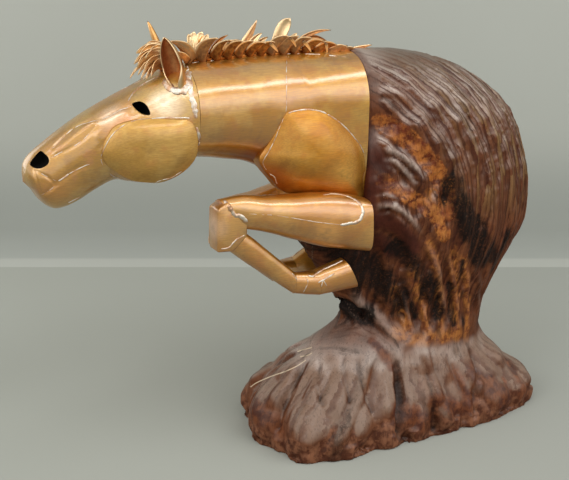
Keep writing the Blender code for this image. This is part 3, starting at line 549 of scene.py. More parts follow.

# What the painted sheen, the painted shade in hollows and the wear on edges follow: how a face
# is lit from above, and how hollow it is.
turned = numbers_of(block.data.vertices, "normal", 3)
around = np.stack([evened(moved[:, axis]) for axis in range(3)], 1)
cavity = evened(2 * ((around - moved) * turned).sum(1) / even_step, 2)
above = np.stack([np.full(count, -0.15), np.where(y < 0, -0.50, 0.50), np.full(count, 0.85)], 1)
facing_up = (turned * above).sum(1)
# Amber bands low on the trunk, along the rib crests: pixels and half width in metres. Partly wood colour,
# partly painted highlight.
amber_lines = (
    (((428, 242), (435, 262), (440, 298), (443, 340)), 0.0080),
    (((452, 250), (455, 290), (458, 338)), 0.0100),
    (((465, 258), (468, 306), (468, 338)), 0.0080),
    (((395, 288), (399, 306), (412, 338)), 0.0090),
    (((412, 270), (422, 306), (432, 340)), 0.0100),
    (((396, 332), (416, 340), (436, 338), (458, 334)), 0.0120),
    (((430, 192), (438, 214), (443, 236)), 0.0100),
)
rust_lines = (
    (((476, 372), (490, 384), (506, 398)), 0.0320),
    (((512, 362), (518, 376), (522, 392)), 0.0160),
    (((456, 372), (464, 386), (470, 402)), 0.0170),
    (((434, 398), (452, 404), (468, 408)), 0.0200),
    (((398, 410), (412, 418), (430, 422)), 0.0260),
    (((372, 340), (384, 352), (392, 366)), 0.0120),
    (((252, 396), (262, 412), (276, 428)), 0.0280),
)
# Near-black bands, pixels and half width in metres: painted shade under the arm and the chest, in the recess
# under the trunk, between ribs and in the deep hollow, partly dark stain.
dark_lines = (
    (((451, 186), (460, 204), (468, 222), (476, 242), (483, 260)), 0.0210),
    (((476, 222), (484, 240), (492, 258)), 0.0150),
    (((507, 236), (500, 254), (492, 270)), 0.0110),
    (((352, 250), (366, 264), (382, 280), (394, 300)), 0.0270),
    (((392, 246), (410, 262), (428, 284), (436, 312)), 0.0170),
    (((405, 290), (416, 316)), 0.0060),
    (((450, 286), (454, 324)), 0.0060),
    (((463, 262), (464, 324)), 0.0050),
    (((341, 306), (351, 311), (363, 315)), 0.0190),
    (((344, 250), (352, 268), (362, 284)), 0.0260),
    (((312, 230), (326, 242), (340, 254)), 0.0300),
)
uneven = 0.55 * clouds(folded, 0.030, 21) + crumbs
creased = stripe([(pixels, 0.6 * width) for pixels, deep, width in base_creases], 0.9 * uneven)
stem = 1 - ease(seat_z - 0.02, seat_z + 0.10, z)
lit = ease(0.46 - 0.10 * (1 - trunk), 0.94 - 0.10 * (1 - trunk), facing_up)
plate = z - 0.082 + 0.016 * clouds(folded, 0.035, 14) + 0.046 * np.clip(flutes / 0.010, 0, 1)
low_carving = 0.5 * (1 - ease(0.140, 0.180, z))

# The numbers from 0 to 1 that the material reads, one for each corner of the block.
marks = {
    "orange": hollow * (1 - 0.8 * crest),
    "amber": stripe(amber_lines, 0.5 * uneven, 1.3),
    "rust": stripe(rust_lines, uneven),
    # Near-black painted shade, partly dark stain, also faint in the base creases.
    "dark": np.maximum(np.maximum(stripe(dark_lines, 0.6 * uneven, 1.5), recess), 0.26 * creased),
    "mauve": smooth_wood * (1 - ease(0.63, 0.70, z)),
    # Painted sheen along the ridge crests.
    "pale": pale,
    "lit": lit * (1 - 0.7 * trunk * stem) * (1 - 0.65 * smooth_wood),
    # Painted shade in the hollow places of the skin.
    "cavity_shade": ease(0.04, 0.24, cavity),
    # Painted shade along the deep upper side of each stroke.
    "gap": ease(0.34, 0.84, stroke_lane) * quiet * above_waist,
    "carved": quiet * ease(0.20, 0.27, z) * (1 - 0.5 * ease(0.76, 0.80, z)) + low_carving,
    "across": np.where(on_trunk, across, 0.075 * base_turn),
    "along": np.where(on_trunk, along, 0.08 * base_reach + 0.5 * (0.2 - z)) / 2,
    "edge": ease(0.06, 0.34, -cavity) * (0.4 + 0.6 * trunk),
    "tone": np.where(trunk > 0.5, stroke_tone, flute_tone),
    "rim_band": (1 - ease(-0.008, 0.008, plate)) * (1 - trunk),
    "foot": 1 - ease(0.148, 0.198, z + 0.030 * clouds(folded, 0.025, 8)),
    "stem": stem,
    "crown": ease(0.720, 0.790, z) * ease(-0.16, -0.02, x),
}

# Pale scratches on the front lobe: pixels along each. Each corner keeps how many pixels it lies
# above or below the scratch in the camera's picture, so the line is thinner than the mesh is fine.
scratches = (
    ((250, 387.5), (257, 382.5), (272, 376), (285, 371.5), (297, 366), (306, 360)),
    ((300, 356.7), (307, 355.4), (312, 353)),
    ((297, 351.7), (304, 349.5), (312, 347.5)),
)
scratch_reach = 20
from_eye = moved - np.array(eye)
distance = -(from_eye @ eye_back)
pixel_x = picture_width / 2 + focal_pixels * (from_eye @ camera_right) / distance
pixel_y = picture_height / 2 - focal_pixels * (from_eye @ camera_up) / distance
for number, pixels in enumerate(scratches):
    line_x, line_y = np.array(smooth_line(pixels, 4)).T
    crossed = (pixel_x > line_x[0]) & (pixel_x < line_x[-1]) & (facing @ eye_back > 0)
    below = pixel_y - np.interp(pixel_x, line_x, line_y)
    marks[f"scratch_{number}"] = np.where(crossed, 0.5 + below / scratch_reach, 1)
for name, values in marks.items():
    layer = block.data.attributes.new(name, "FLOAT", "POINT")
    layer.data.foreach_set("value", np.clip(values, 0, 1).astype(np.float32))


def sum_of(tree, value, gain, rest):
    """The value times a gain, plus the rest."""
    return add(tree, "ShaderNodeMath", {0: value, 1: gain, 2: rest}, operation="MULTIPLY_ADD").outputs[0]


def stretched(tree, place, scale):
    """The place scaled along each axis."""
    return add(tree, "ShaderNodeVectorMath", {0: place, 1: scale}, operation="MULTIPLY").outputs[0]


def bumped(tree, height, strength, distance):
    """The normal of a skin that is raised by a height, by the distance in metres at most."""
    inputs = {"Height": height, "Strength": strength, "Distance": distance}
    return add(tree, "ShaderNodeBump", inputs).outputs[0]


def cover(tree, out, finish):
    """The surface of a piece, from the inputs of one principled shader."""
    tree.links.new(add(tree, "ShaderNodeBsdfPrincipled", finish).outputs[0], out.inputs["Surface"])


def block_material():
    """Walnut-stained hardwood under satin varnish: red-brown, with a painted grey sheen on upward
    faces, orange where the gouge left it rough, and painted shade, near black, in the deep cuts."""
    made, tree, out, place = new_material("walnut_stained_hardwood")
    cloud = partial(noise_of, tree, place)
    ramp, product, blend, raised = (partial(step, tree) for step in (between, times, mix, sum_of))
    field = {name: add(tree, "ShaderNodeAttribute", attribute_name=name).outputs["Fac"] for name in marks}

    def flip(value):
        return add(tree, "ShaderNodeMath", {0: 1.0, 1: value}, operation="SUBTRACT").outputs[0]

    blotch = cloud(24.0, 5.0, 0.62)  # stain soaked in, in patches of 30 to 60 mm
    clump = cloud(42.0, 4.0, 0.60)
    mottle = cloud(65.0, 5.0, 0.60)  # broken fibres and pores, 5 to 12 mm
    speck = cloud(260.0, 3.0, 0.60)
    # Upright fibres about 2 mm wide and 25 mm long, drawn wider than real so that they show.
    fibre = noise_of(tree, stretched(tree, place, (300, 300, 38)), 1.0, 4.0, 0.60)

    # One cell for each gouge cut, 9 mm wide and 80 mm long. Its own tone and its slanted face,
    #     with painted shade along the upper side, let the carving read as rows of long cuts.
    wide = raised(field["across"], 110.0, product(mottle, 0.9))
    long = raised(field["along"], 25.0, product(blotch, 2.0))
    spot = add(tree, "ShaderNodeCombineXYZ", {"X": wide, "Y": long}).outputs[0]
    cell_inputs = {"Vector": spot, "Scale": 1.0, "Randomness": 0.9}
    cell = add(tree, "ShaderNodeTexVoronoi", cell_inputs, voronoi_dimensions="2D").outputs
    offset = add(tree, "ShaderNodeVectorMath", {0: spot, 1: cell["Position"]}, operation="SUBTRACT")
    within = add(tree, "ShaderNodeSeparateXYZ", {0: offset.outputs[0]}).outputs[0]
    line = product(ramp(within, 0.05, 0.42), field["carved"])
    shade = add(tree, "ShaderNodeSeparateColor", {0: cell["Color"]}).outputs

    # Stain: brown with tan cuts, rusty in the hollows, red at the base, and amber on the ribs, partly
    #     a painted highlight on their crests.
    brown = blend(ramp(blotch, 0.38, 0.62), "#442010", "#683A22")
    brown = blend(product(shade[1], field["carved"], 0.55), brown, "#7A4A2C")
    tan_cuts = product(ramp(shade[2], 0.45, 0.75), ramp(field["across"], 0.34, 0.52), field["carved"], 0.70)
    brown = blend(tan_cuts, brown, blend(field["stem"], "#86683F", "#74402A"))
    brown = blend(product(field["tone"], 0.35), brown, "#6E4228")
    rust = blend(ramp(clump, 0.34, 0.58), "#642812", "#B46C30")
    rust = blend(ramp(mottle, 0.52, 0.36), rust, "#5A2612")
    rust = blend(product(ramp(speck, 0.50, 0.64), 0.30), rust, "#AC7A48")
    rust = blend(product(ramp(blotch, 0.52, 0.66), 0.6), rust, "#6C2E1C")
    orange = ramp(add(tree, "ShaderNodeMath", {0: mottle, 1: field["orange"]}).outputs[0], 0.72, 1.05)
    colour = blend(product(orange, 0.92), brown, rust)
    amber = blend(ramp(mottle, 0.36, 0.60), "#864622", "#B67438")
    colour = blend(product(field["amber"], ramp(mottle, 0.22, 0.55), 0.80), colour, amber)
    base_wood = blend(ramp(blotch, 0.35, 0.65), "#62361F", "#7C5038")
    colour = blend(product(field["foot"], flip(field["orange"]), 0.75), colour, base_wood)
    rim = product(ramp(raised(mottle, 1.4, field["rim_band"]), 0.85, 1.60), field["foot"])
    colour = blend(product(rim, 0.90), colour, blend(ramp(mottle, 0.38, 0.60), "#562E1E", "#8C5C42"))
    red_wood = blend(ramp(clump, 0.40, 0.60), "#4A2319", "#7A462A")
    colour = blend(product(field["rust"], 0.85), colour, red_wood)
    petal_wood = blend(ramp(blotch, 0.35, 0.6), "#38160F", "#4A2018")
    colour = blend(product(field["mauve"], 0.8), colour, petal_wood)

    # Painted sheen on upward faces and on the ridge crests, left off the rough and worn places;
    #     wear on the edges; painted shade along the cuts and in hollows; grain and scratches; then
    #     near-black painted shade, partly dark stain.
    bare = flip(product(field["orange"], 0.85)), flip(rim), flip(product(field["rust"], 0.85))
    painted_sheen = product(field["lit"], *bare, ramp(mottle, 0.02, 0.36))
    painted_sheen = product(painted_sheen, flip(product(field["gap"], 0.40)), flip(product(line, 0.80)))
    painted_sheen = product(painted_sheen, blend(field["carved"], "#FFFFFF", blend(shade[0], "#A8A8A8", "#FFFFFF")))
    sheen_colour = blend(field["foot"], blend(field["crown"], "#C6B6AC", "#6C5D50"), "#8E7767")
    colour = blend(product(painted_sheen, 0.82), colour, sheen_colour)
    colour = blend(product(field["pale"], 0.85), colour, "#A89488")
    untouched = flip(orange), flip(product(field["amber"], 0.8)), flip(rim), flip(field["rust"])
    worn = product(field["edge"], *untouched)
    colour = blend(product(worn, 0.42), colour, "#B4A294")
    colour = blend(product(field["gap"], 0.30), colour, "#401B10")
    colour = blend(product(line, 0.62), colour, "#3A170D")
    colour = blend(product(field["cavity_shade"], 0.75), colour, "#2A1109")
    colour = blend(product(ramp(fibre, 0.52, 0.70), 0.40), colour, "#2C1610")
    for number in range(len(scratches)):
        inputs = {0: field[f"scratch_{number}"], 1: 0.5}
        off = add(tree, "ShaderNodeMath", inputs, operation="SUBTRACT").outputs[0]
        off = add(tree, "ShaderNodeMath", {0: off}, operation="ABSOLUTE").outputs[0]
        colour = blend(product(ramp(off, 0.043, 0.008), 0.80), colour, "#E6D2B4")
    combed = noise_of(tree, stretched(tree, spot, (0.7, 0.45, 0)), 1.0, 5.0, 0.65)
    dark = product(ramp(raised(combed, 3.4, field["dark"]), 1.68, 2.85), ramp(speck, 0.15, 0.50))
    colour = blend(product(dark, 0.95), colour, "#0C0604")
    relief = raised(mottle, 1.2, fibre)
    relief = raised(product(speck, field["orange"]), 1.5, relief)
    relief = raised(product(within, field["carved"]), -2.2, relief)
    polished = product(field["lit"], flip(field["orange"]))
    finish = {
        "Base Color": colour,
        "Roughness": between(tree, polished, 0.0, 1.0, 0.62, 0.40, "LINEAR"),
        "Normal": bumped(tree, relief, 0.5, 0.0014),
        "Specular IOR Level": 0.15,
        "Coat Weight": product(flip(orange), flip(dark), field["lit"], 0.5),
        "Coat Roughness": 0.28,
    }
    cover(tree, out, finish)
    return made


# The flat underside and the face behind the collar carry no carving, so few faces do for them.
wide_off = 9
plain_boxes = (
    (Vector((-wide_off, -wide_off, -1)), Vector((wide_off, wide_off, 0.0002))),
    (Vector((-wide_off, -wide_off, seat_z)), Vector((collar_x - 0.002, wide_off, wide_off))),
)
work = bmesh.new()
work.from_mesh(block.data)
for lowest, highest in plain_boxes:
    inside = [v for v in work.verts if all(a <= b <= c for a, b, c in zip(lowest, v.co, highest))]
    edges = {e for v in inside for e in v.link_edges}
    bmesh.ops.dissolve_limit(work, angle_limit=0.03, verts=inside, edges=list(edges))
bmesh.ops.triangulate(work, faces=[f for f in work.faces if len(f.verts) > 4])
work.to_mesh(block.data)
work.free()
block.data.materials.append(block_material())
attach(block, "root")
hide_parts("carved_wood_block")


# Neck and chest: two rolled drums of brushed copper sheet, butted at one brazed seam. The front
# one is nearly round, the rear one deep, and both were beaten over a stake, so the skin wavers.
def skin_over(work, point, columns, rows, numbers=None):
    """A grid laid over a shape: point(u, v) gives each corner's place, u round it and v along.
    Numbers are kept on the corners, each a layer with its own function of u and v."""
    made = bmesh.ops.create_grid(work, x_segments=columns, y_segments=rows, size=0.5)["verts"]
    for vert in made:
        u, v = vert.co.x + 0.5, vert.co.y + 0.5
        vert.co = point(u, v)
        for layer, number in (numbers or {}).items():
            vert[layer] = number(u, v)
    bmesh.ops.remove_doubles(work, verts=made, dist=0.00002)


def close_up(work):
    """Caps on the open ends, and every face turned outward."""
    rims = [edge for edge in work.edges if edge.is_boundary]
    if rims:
        for edge in rims:
            edge.smooth = False
        caps = bmesh.ops.holes_fill(work, edges=rims, sides=0)["faces"]
        bmesh.ops.triangulate(work, faces=caps)
    bmesh.ops.recalc_face_normals(work, faces=work.faces)


def beaten(work, height, size, seed):
    """Low dents and rises left by the hammer."""
    work.normal_update()
    shift = Vector((seed * 1.7, seed * 2.3, seed * 3.1))
    for vert in work.verts:
        vert.co += vert.normal * height * noise.noise(vert.co / size + shift)


def beaten_sheet(name, work, dents, metal):
    """The finished sheet, dented by a height, a size and a seed, and closed."""
    beaten(work, *dents)
    close_up(work)
    return set_down(name, work, [metal])


def row_between(rows, share):
    """The row of numbers at a share of the way down a list of rows, on a smooth curve."""
    place = min(max(share, 0.0), 0.99999) * (len(rows) - 1)
    k = int(place)
    b, c = rows[k], rows[k + 1]
    a = rows[k - 1] if k else [2 * p - q for p, q in zip(b, c)]
    d = rows[k + 2] if k + 2 < len(rows) else [2 * q - p for p, q in zip(b, c)]
    return [curve(*near, place - k) for near in zip(a, b, c, d)]


def hoop_point(u, top, bottom, width, widest, squareness, y=0.0):
    """A point on a rolled hoop that starts at its top and goes round by the far side."""
    angle = 2 * math.pi * u
    aside = math.copysign(abs(math.sin(angle)) ** (2 / squareness), math.sin(angle)) * width / 2
    reach = abs(math.cos(angle)) ** (2 / squareness)
    middle = bottom[0] + (top[0] - bottom[0]) * widest, bottom[1] + (top[1] - bottom[1]) * widest
    end = top if math.cos(angle) > 0 else bottom
    along_x, z = (m + (e - m) * reach for m, e in zip(middle, end))
    return Vector((along_x, y + aside, z))


neck_low, neck_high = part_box("neck_drum")
chest_low, chest_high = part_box("chest_drum")
crest_z = neck_high.z
radius = 0.090
axis_z = crest_z - radius
seam_x = neck_high.x
belly_z = seat_z - 0.012
breast_z = seat_z + (axis_z - seat_z) * 0.34

# Rows from the throat to the seam: share of the way, then how far the top drops and the bottom
# hangs below the axis, the width, all three in radii, and how high the widest place is.
neck_rows = [
    (share, top * radius, axis_z - bottom * radius, width, widest)
    for share, top, bottom, width, widest in (
        (0.00, 0.056, 0.978, 0.955, 0.50),
        (0.25, 0.033, 1.056, 0.975, 0.51),
        (0.50, 0.011, 1.167, 0.995, 0.53),
        (0.64, 0.000, 1.289, 1.000, 0.55),
        (0.76, 0.000, 1.467, 1.005, 0.58),
        (0.88, 0.000, 1.733, 1.010, 0.63),
    )
] + [(1.0, 0.0, breast_z, 1.015, 0.66)]
# Rows from the seam to the collar, with the height of the bottom in metres.
chest_rows = (
    (0.00, 0.000, breast_z, 1.015, 0.66),
    (0.06, 0.000, belly_z + (breast_z - belly_z) * 0.62, 1.017, 0.69),
    (0.13, 0.000, belly_z + (breast_z - belly_z) * 0.30, 1.018, 0.73),
    (0.22, 0.000, belly_z, 1.020, 0.76),
    (0.50, 0.000, belly_z, 1.020, 0.76),
    (1.00, 0.001, belly_z, 1.010, 0.76),
)


def drum_point(u, v, rows, front_x, rear_x):
    """A point of a drum that runs through rows from its front to its rear."""
    share, drop, bottom, width, widest = row_between(rows, v)
    along_x = front_x + (rear_x - front_x) * share
    return hoop_point(u, (along_x, crest_z - drop), (along_x, bottom), 2 * radius * width, widest, 2.2)


def neck_point(u, v):
    """A point of the front drum, from the throat at v = 0 to the seam."""
    return drum_point(u, v, neck_rows, neck_low.x, seam_x)


def chest_point(u, v):
    """A point of the rear drum, from the seam to the collar, and no lower than its seat."""
    spot = drum_point(u, v, chest_rows, seam_x, chest_high.x)
    spot.z = max(spot.z, chest_low.z)
    return spot


def sheet_metal(name, body, pale, flush, spots_of_tint_and_light=(), lacquer=0.9):
    """Copper sheet, wire-brushed and lacquered: satin, with soft mirror streaks along the sheet,
    gold where the lacquer is thick, pink where it is thin, and spots of heat tint, painted
    highlight and painted shade. Each spot is a point in metres, a radius and a colour."""
    made, tree, out, place = new_material(name)
    ramp, blend, raised = (partial(step, tree) for step in (between, mix, sum_of))
    # Patches of lacquer and heat tint, 40 to 120 mm across.
    patch = noise_of(tree, place, 13.0, 5.0, 0.60)
    small = noise_of(tree, place, 34.0, 4.0, 0.60)
    # Wire-brush lines, about 1 mm apart so that they show, and 40 mm long.
    brushed = noise_of(tree, stretched(tree, place, (45, 520, 620)), 1.0, 3.0, 0.50)
    colour = blend(ramp(patch, 0.42, 0.58), body, pale)
    colour = blend(ramp(small, 0.52, 0.70, 0.0, 0.55), colour, flush)
    for spot, size, tint in spots_of_tint_and_light:
        gap = add(tree, "ShaderNodeVectorMath", {0: place, 1: spot}, operation="DISTANCE").outputs["Value"]
        ragged = raised(small, size * 0.5, gap)
        colour = blend(ramp(ragged, size * 1.25, size * 0.45, 0.0, 0.85), colour, tint)
    colour = blend(ramp(small, 0.48, 0.34, 0.0, 0.26), colour, "#9A6426")
    colour = blend(ramp(brushed, 0.35, 0.65, 0.0, 0.24), colour, "#8A5A2C")
    finish = {
        "Base Color": colour,
        "Metallic": 1.0,
        "Roughness": raised(brushed, 0.10, ramp(small, 0.3, 0.7, 0.41, 0.52)),
        "Normal": bumped(tree, raised(brushed, 0.06, small), 0.35, 0.0016),
        "Coat Weight": lacquer,
        "Coat Roughness": 0.19,
        "Coat IOR": 2.2,
        "Coat Normal": bumped(tree, small, 0.20, 0.0016),
    }
    cover(tree, out, finish)
    return made


drum_dents = 0.0016, 0.060, 1
# Painted shade, dark brown, under the neck.
neck_underside_shade = (-0.34, -0.05, 0.600), 0.075, "#A04A10"
neck_copper = sheet_metal("brushed_copper_neck", "#C68A24", "#D09E44", "#C48036", [neck_underside_shade])
neck_work = bmesh.new()
skin_over(neck_work, neck_point, 96, 56)
neck = beaten_sheet("neck", neck_work, drum_dents, neck_copper)
chest_copper = sheet_metal("brushed_copper_chest", "#C88A1E", "#D29E36", "#C27E26")
chest_work = bmesh.new()
skin_over(chest_work, chest_point, 96, 40)
chest = beaten_sheet("chest", chest_work, drum_dents, chest_copper)
for piece, node in ((neck, "neck_drum"), (chest, "chest_drum")):
    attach(piece, "root")
    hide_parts(node)


# Shoulders: domed plates beaten from brass-toned copper, brazed over the drums. The far one is
# # shorter. The lowest front part of the near one is painted dark amber as shade, and its lower
# # rear paler as painted light.
def closed_line(points):
    """A smooth closed curve through points, read by the share of the way round."""
    points = [Vector(point) for point in points]

    def at(share):
        place = (share % 1.0) * len(points)
        k = int(place)
        near = (points[(k + step) % len(points)] for step in (-1, 0, 1, 2))
        return curve(*near, place - k)

    return at


def domed_plate(outline, rim_y, taper, rise, side, flatness, under, drop):
    """A shallow dome over a closed outline of (x, z) points, on the side given, with a skirt
    that goes in under what carries it. Its edge is dressed down to the skin under it, by the
    drop at most. The flatter it is, the tighter its edge turns."""
    columns, rows = 96, 30
    skirt, skirt_depth = 0.08, 0.030
    at = closed_line(outline)
    centre = sum((Vector(point) for point in outline), Vector((0, 0))) / len(outline)
    rear = max(point[0] for point in outline)
    slope = taper / (rear - min(point[0] for point in outline))

    def plane(spot):
        return rim_y + rise - slope * (rear - spot.x)

    drops = []
    for k in range(columns):
        corner = at(k / columns)
        met = under.ray_cast(Vector((corner.x, side * 0.5, corner.y)), Vector((0, -side, 0)))[0]
        drops.append(min(max(plane(corner) - abs(met.y) - 0.002, 0.001), drop) if met else drop)
    for step in range(6):
        drops = [(drops[k - 1] + 2 * drops[k] + drops[(k + 1) % columns]) / 4 for k in range(columns)]

    def point(u, v):
        corner = at(u)
        low = drops[int(round(u * columns)) % columns]
        if v < skirt:
            reach = plane(corner) - low
            return Vector((corner.x, side * (reach - skirt_depth * (1 - v / skirt)), corner.y))
        out = 1 - ((v - skirt) / (1 - skirt)) ** 1.5
        spot = centre + (corner - centre) * out
        return Vector((spot.x, side * (plane(spot) - low * out ** flatness), spot.y))

    work = bmesh.new()
    inward = work.verts.layers.float.new("inward")
    skin_over(work, point, columns, rows, {inward: lambda u, v: v})
    inner = [vert for vert in work.verts if vert[inward] > 0.16]
    all_ways = {"use_axis_x": True, "use_axis_y": True, "use_axis_z": True}
    for step in range(24):
        bmesh.ops.smooth_vert(work, verts=inner, factor=0.5, **all_ways)
    return work


# Pixels along the edge of the near plate, from its front upper corner round by the front.
shoulder_edge = (
    (287, 113), (281, 124), (275, 138), (269, 150), (263.5, 161), (268, 172), (276, 182), (288, 194),
    (312, 198), (336, 200), (358, 201), (368.5, 199), (369, 185), (368, 168), (363, 150), (354, 136),
    (345, 126), (335, 118), (325, 112.5), (315, 109.5), (305, 108.5), (295, 110),
)
edge_y = -radius * 1.045
rear_x = collar_x - 0.003
# Spots on the near shoulder: painted shade, dark amber, low in front; a gold patch; painted light, pale gold,
# low at the rear.
shoulder_shade_and_light = (
    ((-0.335, -0.09, 0.560), 0.085, "#98440A"),
    ((-0.20, -0.12, 0.60), 0.05, "#DA943A"),
    (tuple(at_depth((350, 180), -0.120)), 0.060, "#F8BE5E"),
)
shoulder_brass = sheet_metal("domed_brass_shoulder", "#CA8A2A", "#D29A40", "#C68232", shoulder_shade_and_light, 0.22)
drum_skin = tree_of(neck, chest)
shoulders = []
for side, name, share in ((-1, "shoulder_near", 1.0), (1, "shoulder_far", 0.80)):
    edge = [at_depth(pixel, edge_y) for pixel in shoulder_edge]
    outline = [(rear_x - (rear_x - spot.x) * share, spot.z) for spot in edge]
    plate_work = domed_plate(outline, -edge_y, 0.0, 0.022, side, 2.4, drum_skin, 0.042)
    shoulder = beaten_sheet(name + "_plate", plate_work, (0.0012, 0.055, 3), shoulder_brass)
    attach(shoulder, "root")
    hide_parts(name)
    shoulders.append(shoulder)


# Head: one tapering box of sheet, creased where panels meet and brazed along the creases, with
# cut-out eyes and nostrils that open into the dark inside. Copper gone olive-gold under lacquer.
throat_x = neck_low.x - 0.0004
head_length, head_depth, head_width = 0.306, 0.158, 0.152

# Rows from the throat to the muzzle: how far ahead the top and the bottom are, in lengths, and
# how far down, in depths, the width and how square the hoop is.
head_rows = (
    (0.000, 0.035, 0.000, 1.175, 1.13, 2.2),
    (0.120, 0.085, 0.085, 1.330, 1.06, 2.3),
    (0.255, 0.205, 0.190, 1.400, 1.01, 2.4),
    (0.370, 0.300, 0.290, 1.375, 0.97, 2.4),
    (0.480, 0.395, 0.385, 1.335, 0.91, 2.5),
    (0.600, 0.500, 0.480, 1.300, 0.82, 2.5),
    (0.710, 0.620, 0.590, 1.390, 0.72, 2.5),
    (0.815, 0.745, 0.690, 1.495, 0.64, 2.5),
    (0.900, 0.855, 0.775, 1.560, 0.60, 2.5),
    (0.957, 0.945, 0.845, 1.560, 0.57, 2.5),
    (0.988, 1.030, 0.910, 1.470, 0.50, 2.4),
    (1.000, 1.120, 0.960, 1.330, 0.34, 2.2),
)
muzzle_end = 0.97


def head_place(ahead, drop):
    """The place ahead of the throat and below the crest, in lengths and depths of the head."""
    return throat_x - ahead * head_length, crest_z - drop * head_depth


def head_point(u, v):
    """A point of the head, from the throat to the muzzle, which closes round its tip."""
    if v > muzzle_end:
        rim = head_point(u, muzzle_end)
        tip = head_place(1.005, 1.23)
        pull = math.sin((v - muzzle_end) / (1 - muzzle_end) * math.pi / 2)
        return rim.lerp(Vector((tip[0], 0, tip[1])), pull)
    top_ahead, top_drop, low_ahead, low_drop, width, squareness = row_between(head_rows, v / muzzle_end)
    top, bottom = head_place(top_ahead, top_drop), head_place(low_ahead, low_drop)
    return hoop_point(u, top, bottom, head_width * width, 0.52, squareness)


head_work = bmesh.new()
skin_over(head_work, head_point, 128, 120)
close_up(head_work)
plain_head = BVHTree.FromBMesh(head_work)

# Creases pressed into the sheet: pixels along each, depth and half width in metres. A negative
# depth is a raised fold.
head_creases = (
    (((158, 76), (148, 81), (140, 87), (133, 94), (127, 101)), 0.0010, 0.004),
    (((131, 106), (120, 110), (109, 115), (99, 120)), 0.0012, 0.004),
    (((99, 120), (89, 122), (79, 125), (69, 132), (60, 140), (52, 149)), 0.0012, 0.004),
    (((99, 121), (92, 130), (84, 139), (74, 146), (62, 152), (50, 158)), 0.0014, 0.004),
    (((98, 121), (86, 128), (74, 137), (62, 147), (53, 153)), -0.0024, 0.011),
    (((110, 136), (104, 143), (98, 150)), 0.0012, 0.004),
    (((41, 195), (50, 190), (58, 183), (68, 176), (78, 169), (90, 164)), 0.0022, 0.005),
    (((35, 170), (44, 175), (50, 179), (55, 184)), 0.0012, 0.004),
    (((34, 169), (37, 180), (41, 194)), 0.0012, 0.004),
    (((128, 110), (117, 116), (106, 126), (96, 140)), -0.0014, 0.012),
)
folded_head = np.array([(v.co.x, -abs(v.co.y), v.co.z) for v in head_work.verts])
push = np.zeros(len(folded_head))
for pixels, deep, width in head_creases:
    gap, share = away_from(smooth_line(seen(plain_head, pixels), 4), folded_head)
    push -= deep * (1 - ease(0.0, width, gap)) * ease(0.0, 0.08, share) * (1 - ease(0.92, 1.0, share))
head_work.normal_update()
for vert, move in zip(head_work.verts, push):
    vert.co += vert.normal * move
beaten(head_work, 0.0009, 0.045, 5)
close_up(head_work)
# Spots on the head: a pink and a gold patch of tint, and near-white painted highlights on the face ahead of
# the eye and on the brow behind it.
head_tints_and_highlights = (
    ((-0.60, -0.05, 0.70), 0.05, "#DC924C"),
    ((-0.72, -0.03, 0.60), 0.05, "#CC8A26"),
    (tuple(at_depth((109, 108), -0.060)), 0.045, "#FFE8C8"),
    (tuple(at_depth((166, 100), -0.080)), 0.050, "#FFECC8"),
)
head_copper = sheet_metal("lacquered_copper_head", "#C8922C", "#D2A850", "#D08C52", head_tints_and_highlights)
# The walls of the eye and nostril pockets are near black: painted shade for the dark inside of the head.
inside_dark, inside_tree, inside_out, inside_place = new_material("painted_shade_inside")
inside_shade = mix(inside_tree, noise_of(inside_tree, inside_place, 60.0), "#050404", "#0B0807")
cover(inside_tree, inside_out, {"Base Color": inside_shade, "Roughness": 0.9, "Specular IOR Level": 0.1})
head = set_down("horse_head", head_work, [head_copper, inside_dark])
head_skin = tree_of(head)

# Outlines in pixels, then the plane where each cutter starts and how far past its rim it ends.
eye_hole = (
    (132, 104), (136, 102), (140, 101.3), (144, 103), (147.5, 106.5), (150.4, 114.4), (144, 114.6),
    (139, 112), (134.6, 108),
)
nostril_hole = (
    (40.5, 151), (45, 154), (48.5, 158), (48.8, 163), (45, 166.6), (39, 168.6), (33, 167.4),
    (29.8, 163.5), (34, 157),
)
for outline, start_y, past_rim in ((eye_hole, -0.112, 0.026), (nostril_hole, -0.09, 0.020)):
    rim_line = closed_line(seen(head_skin, outline))
    middle = sum((rim_line(k / 12) for k in range(12)), Vector((0, 0, 0))) / 12
    for side in (1, -1):

        def hole_point(u, v):
            spot = rim_line(u)
            if v > 0.6:
                spot = spot.lerp(middle, (v - 0.6) / 0.4)
            reach = start_y + (middle.y + past_rim - start_y) * min(v / 0.6, 1.0)
            return Vector((spot.x, reach * side, spot.z))

        hole_work = bmesh.new()
        skin_over(hole_work, hole_point, 36, 10)
        close_up(hole_work)
        hole = set_down("hole_cutter", hole_work, [inside_dark])
        cutting = head.modifiers.new("hole", "BOOLEAN")
        cutting.operation = "DIFFERENCE"
        cutting.solver = "EXACT"
        cutting.material_mode = "TRANSFER"
        cutting.object = hole
        settled(head)
        bpy.data.objects.remove(hole)
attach(head, "root")
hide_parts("head")


# Cheeks: flat discs with a rolled edge, brazed over the jaw, the upper rear corner squared where
# it meets the seam of the neck.
cheek_length, cheek_height = 0.172, 0.117
cheek_shares = (
    (0.084, 0.074), (0.27, 0.03), (0.48, 0.0), (0.69, 0.017), (0.855, 0.09), (0.935, 0.215),
    (0.985, 0.36), (1.0, 0.50), (0.975, 0.64), (0.866, 0.80), (0.715, 0.934), (0.51, 1.0),
    (0.313, 0.975), (0.14, 0.843), (0.03, 0.66), (0.0, 0.45), (0.015, 0.24),
)
cheek_rear, cheek_top = head_place(0.019, 0.520)
cheek_edge_y = head_width * 0.58 - 0.0035
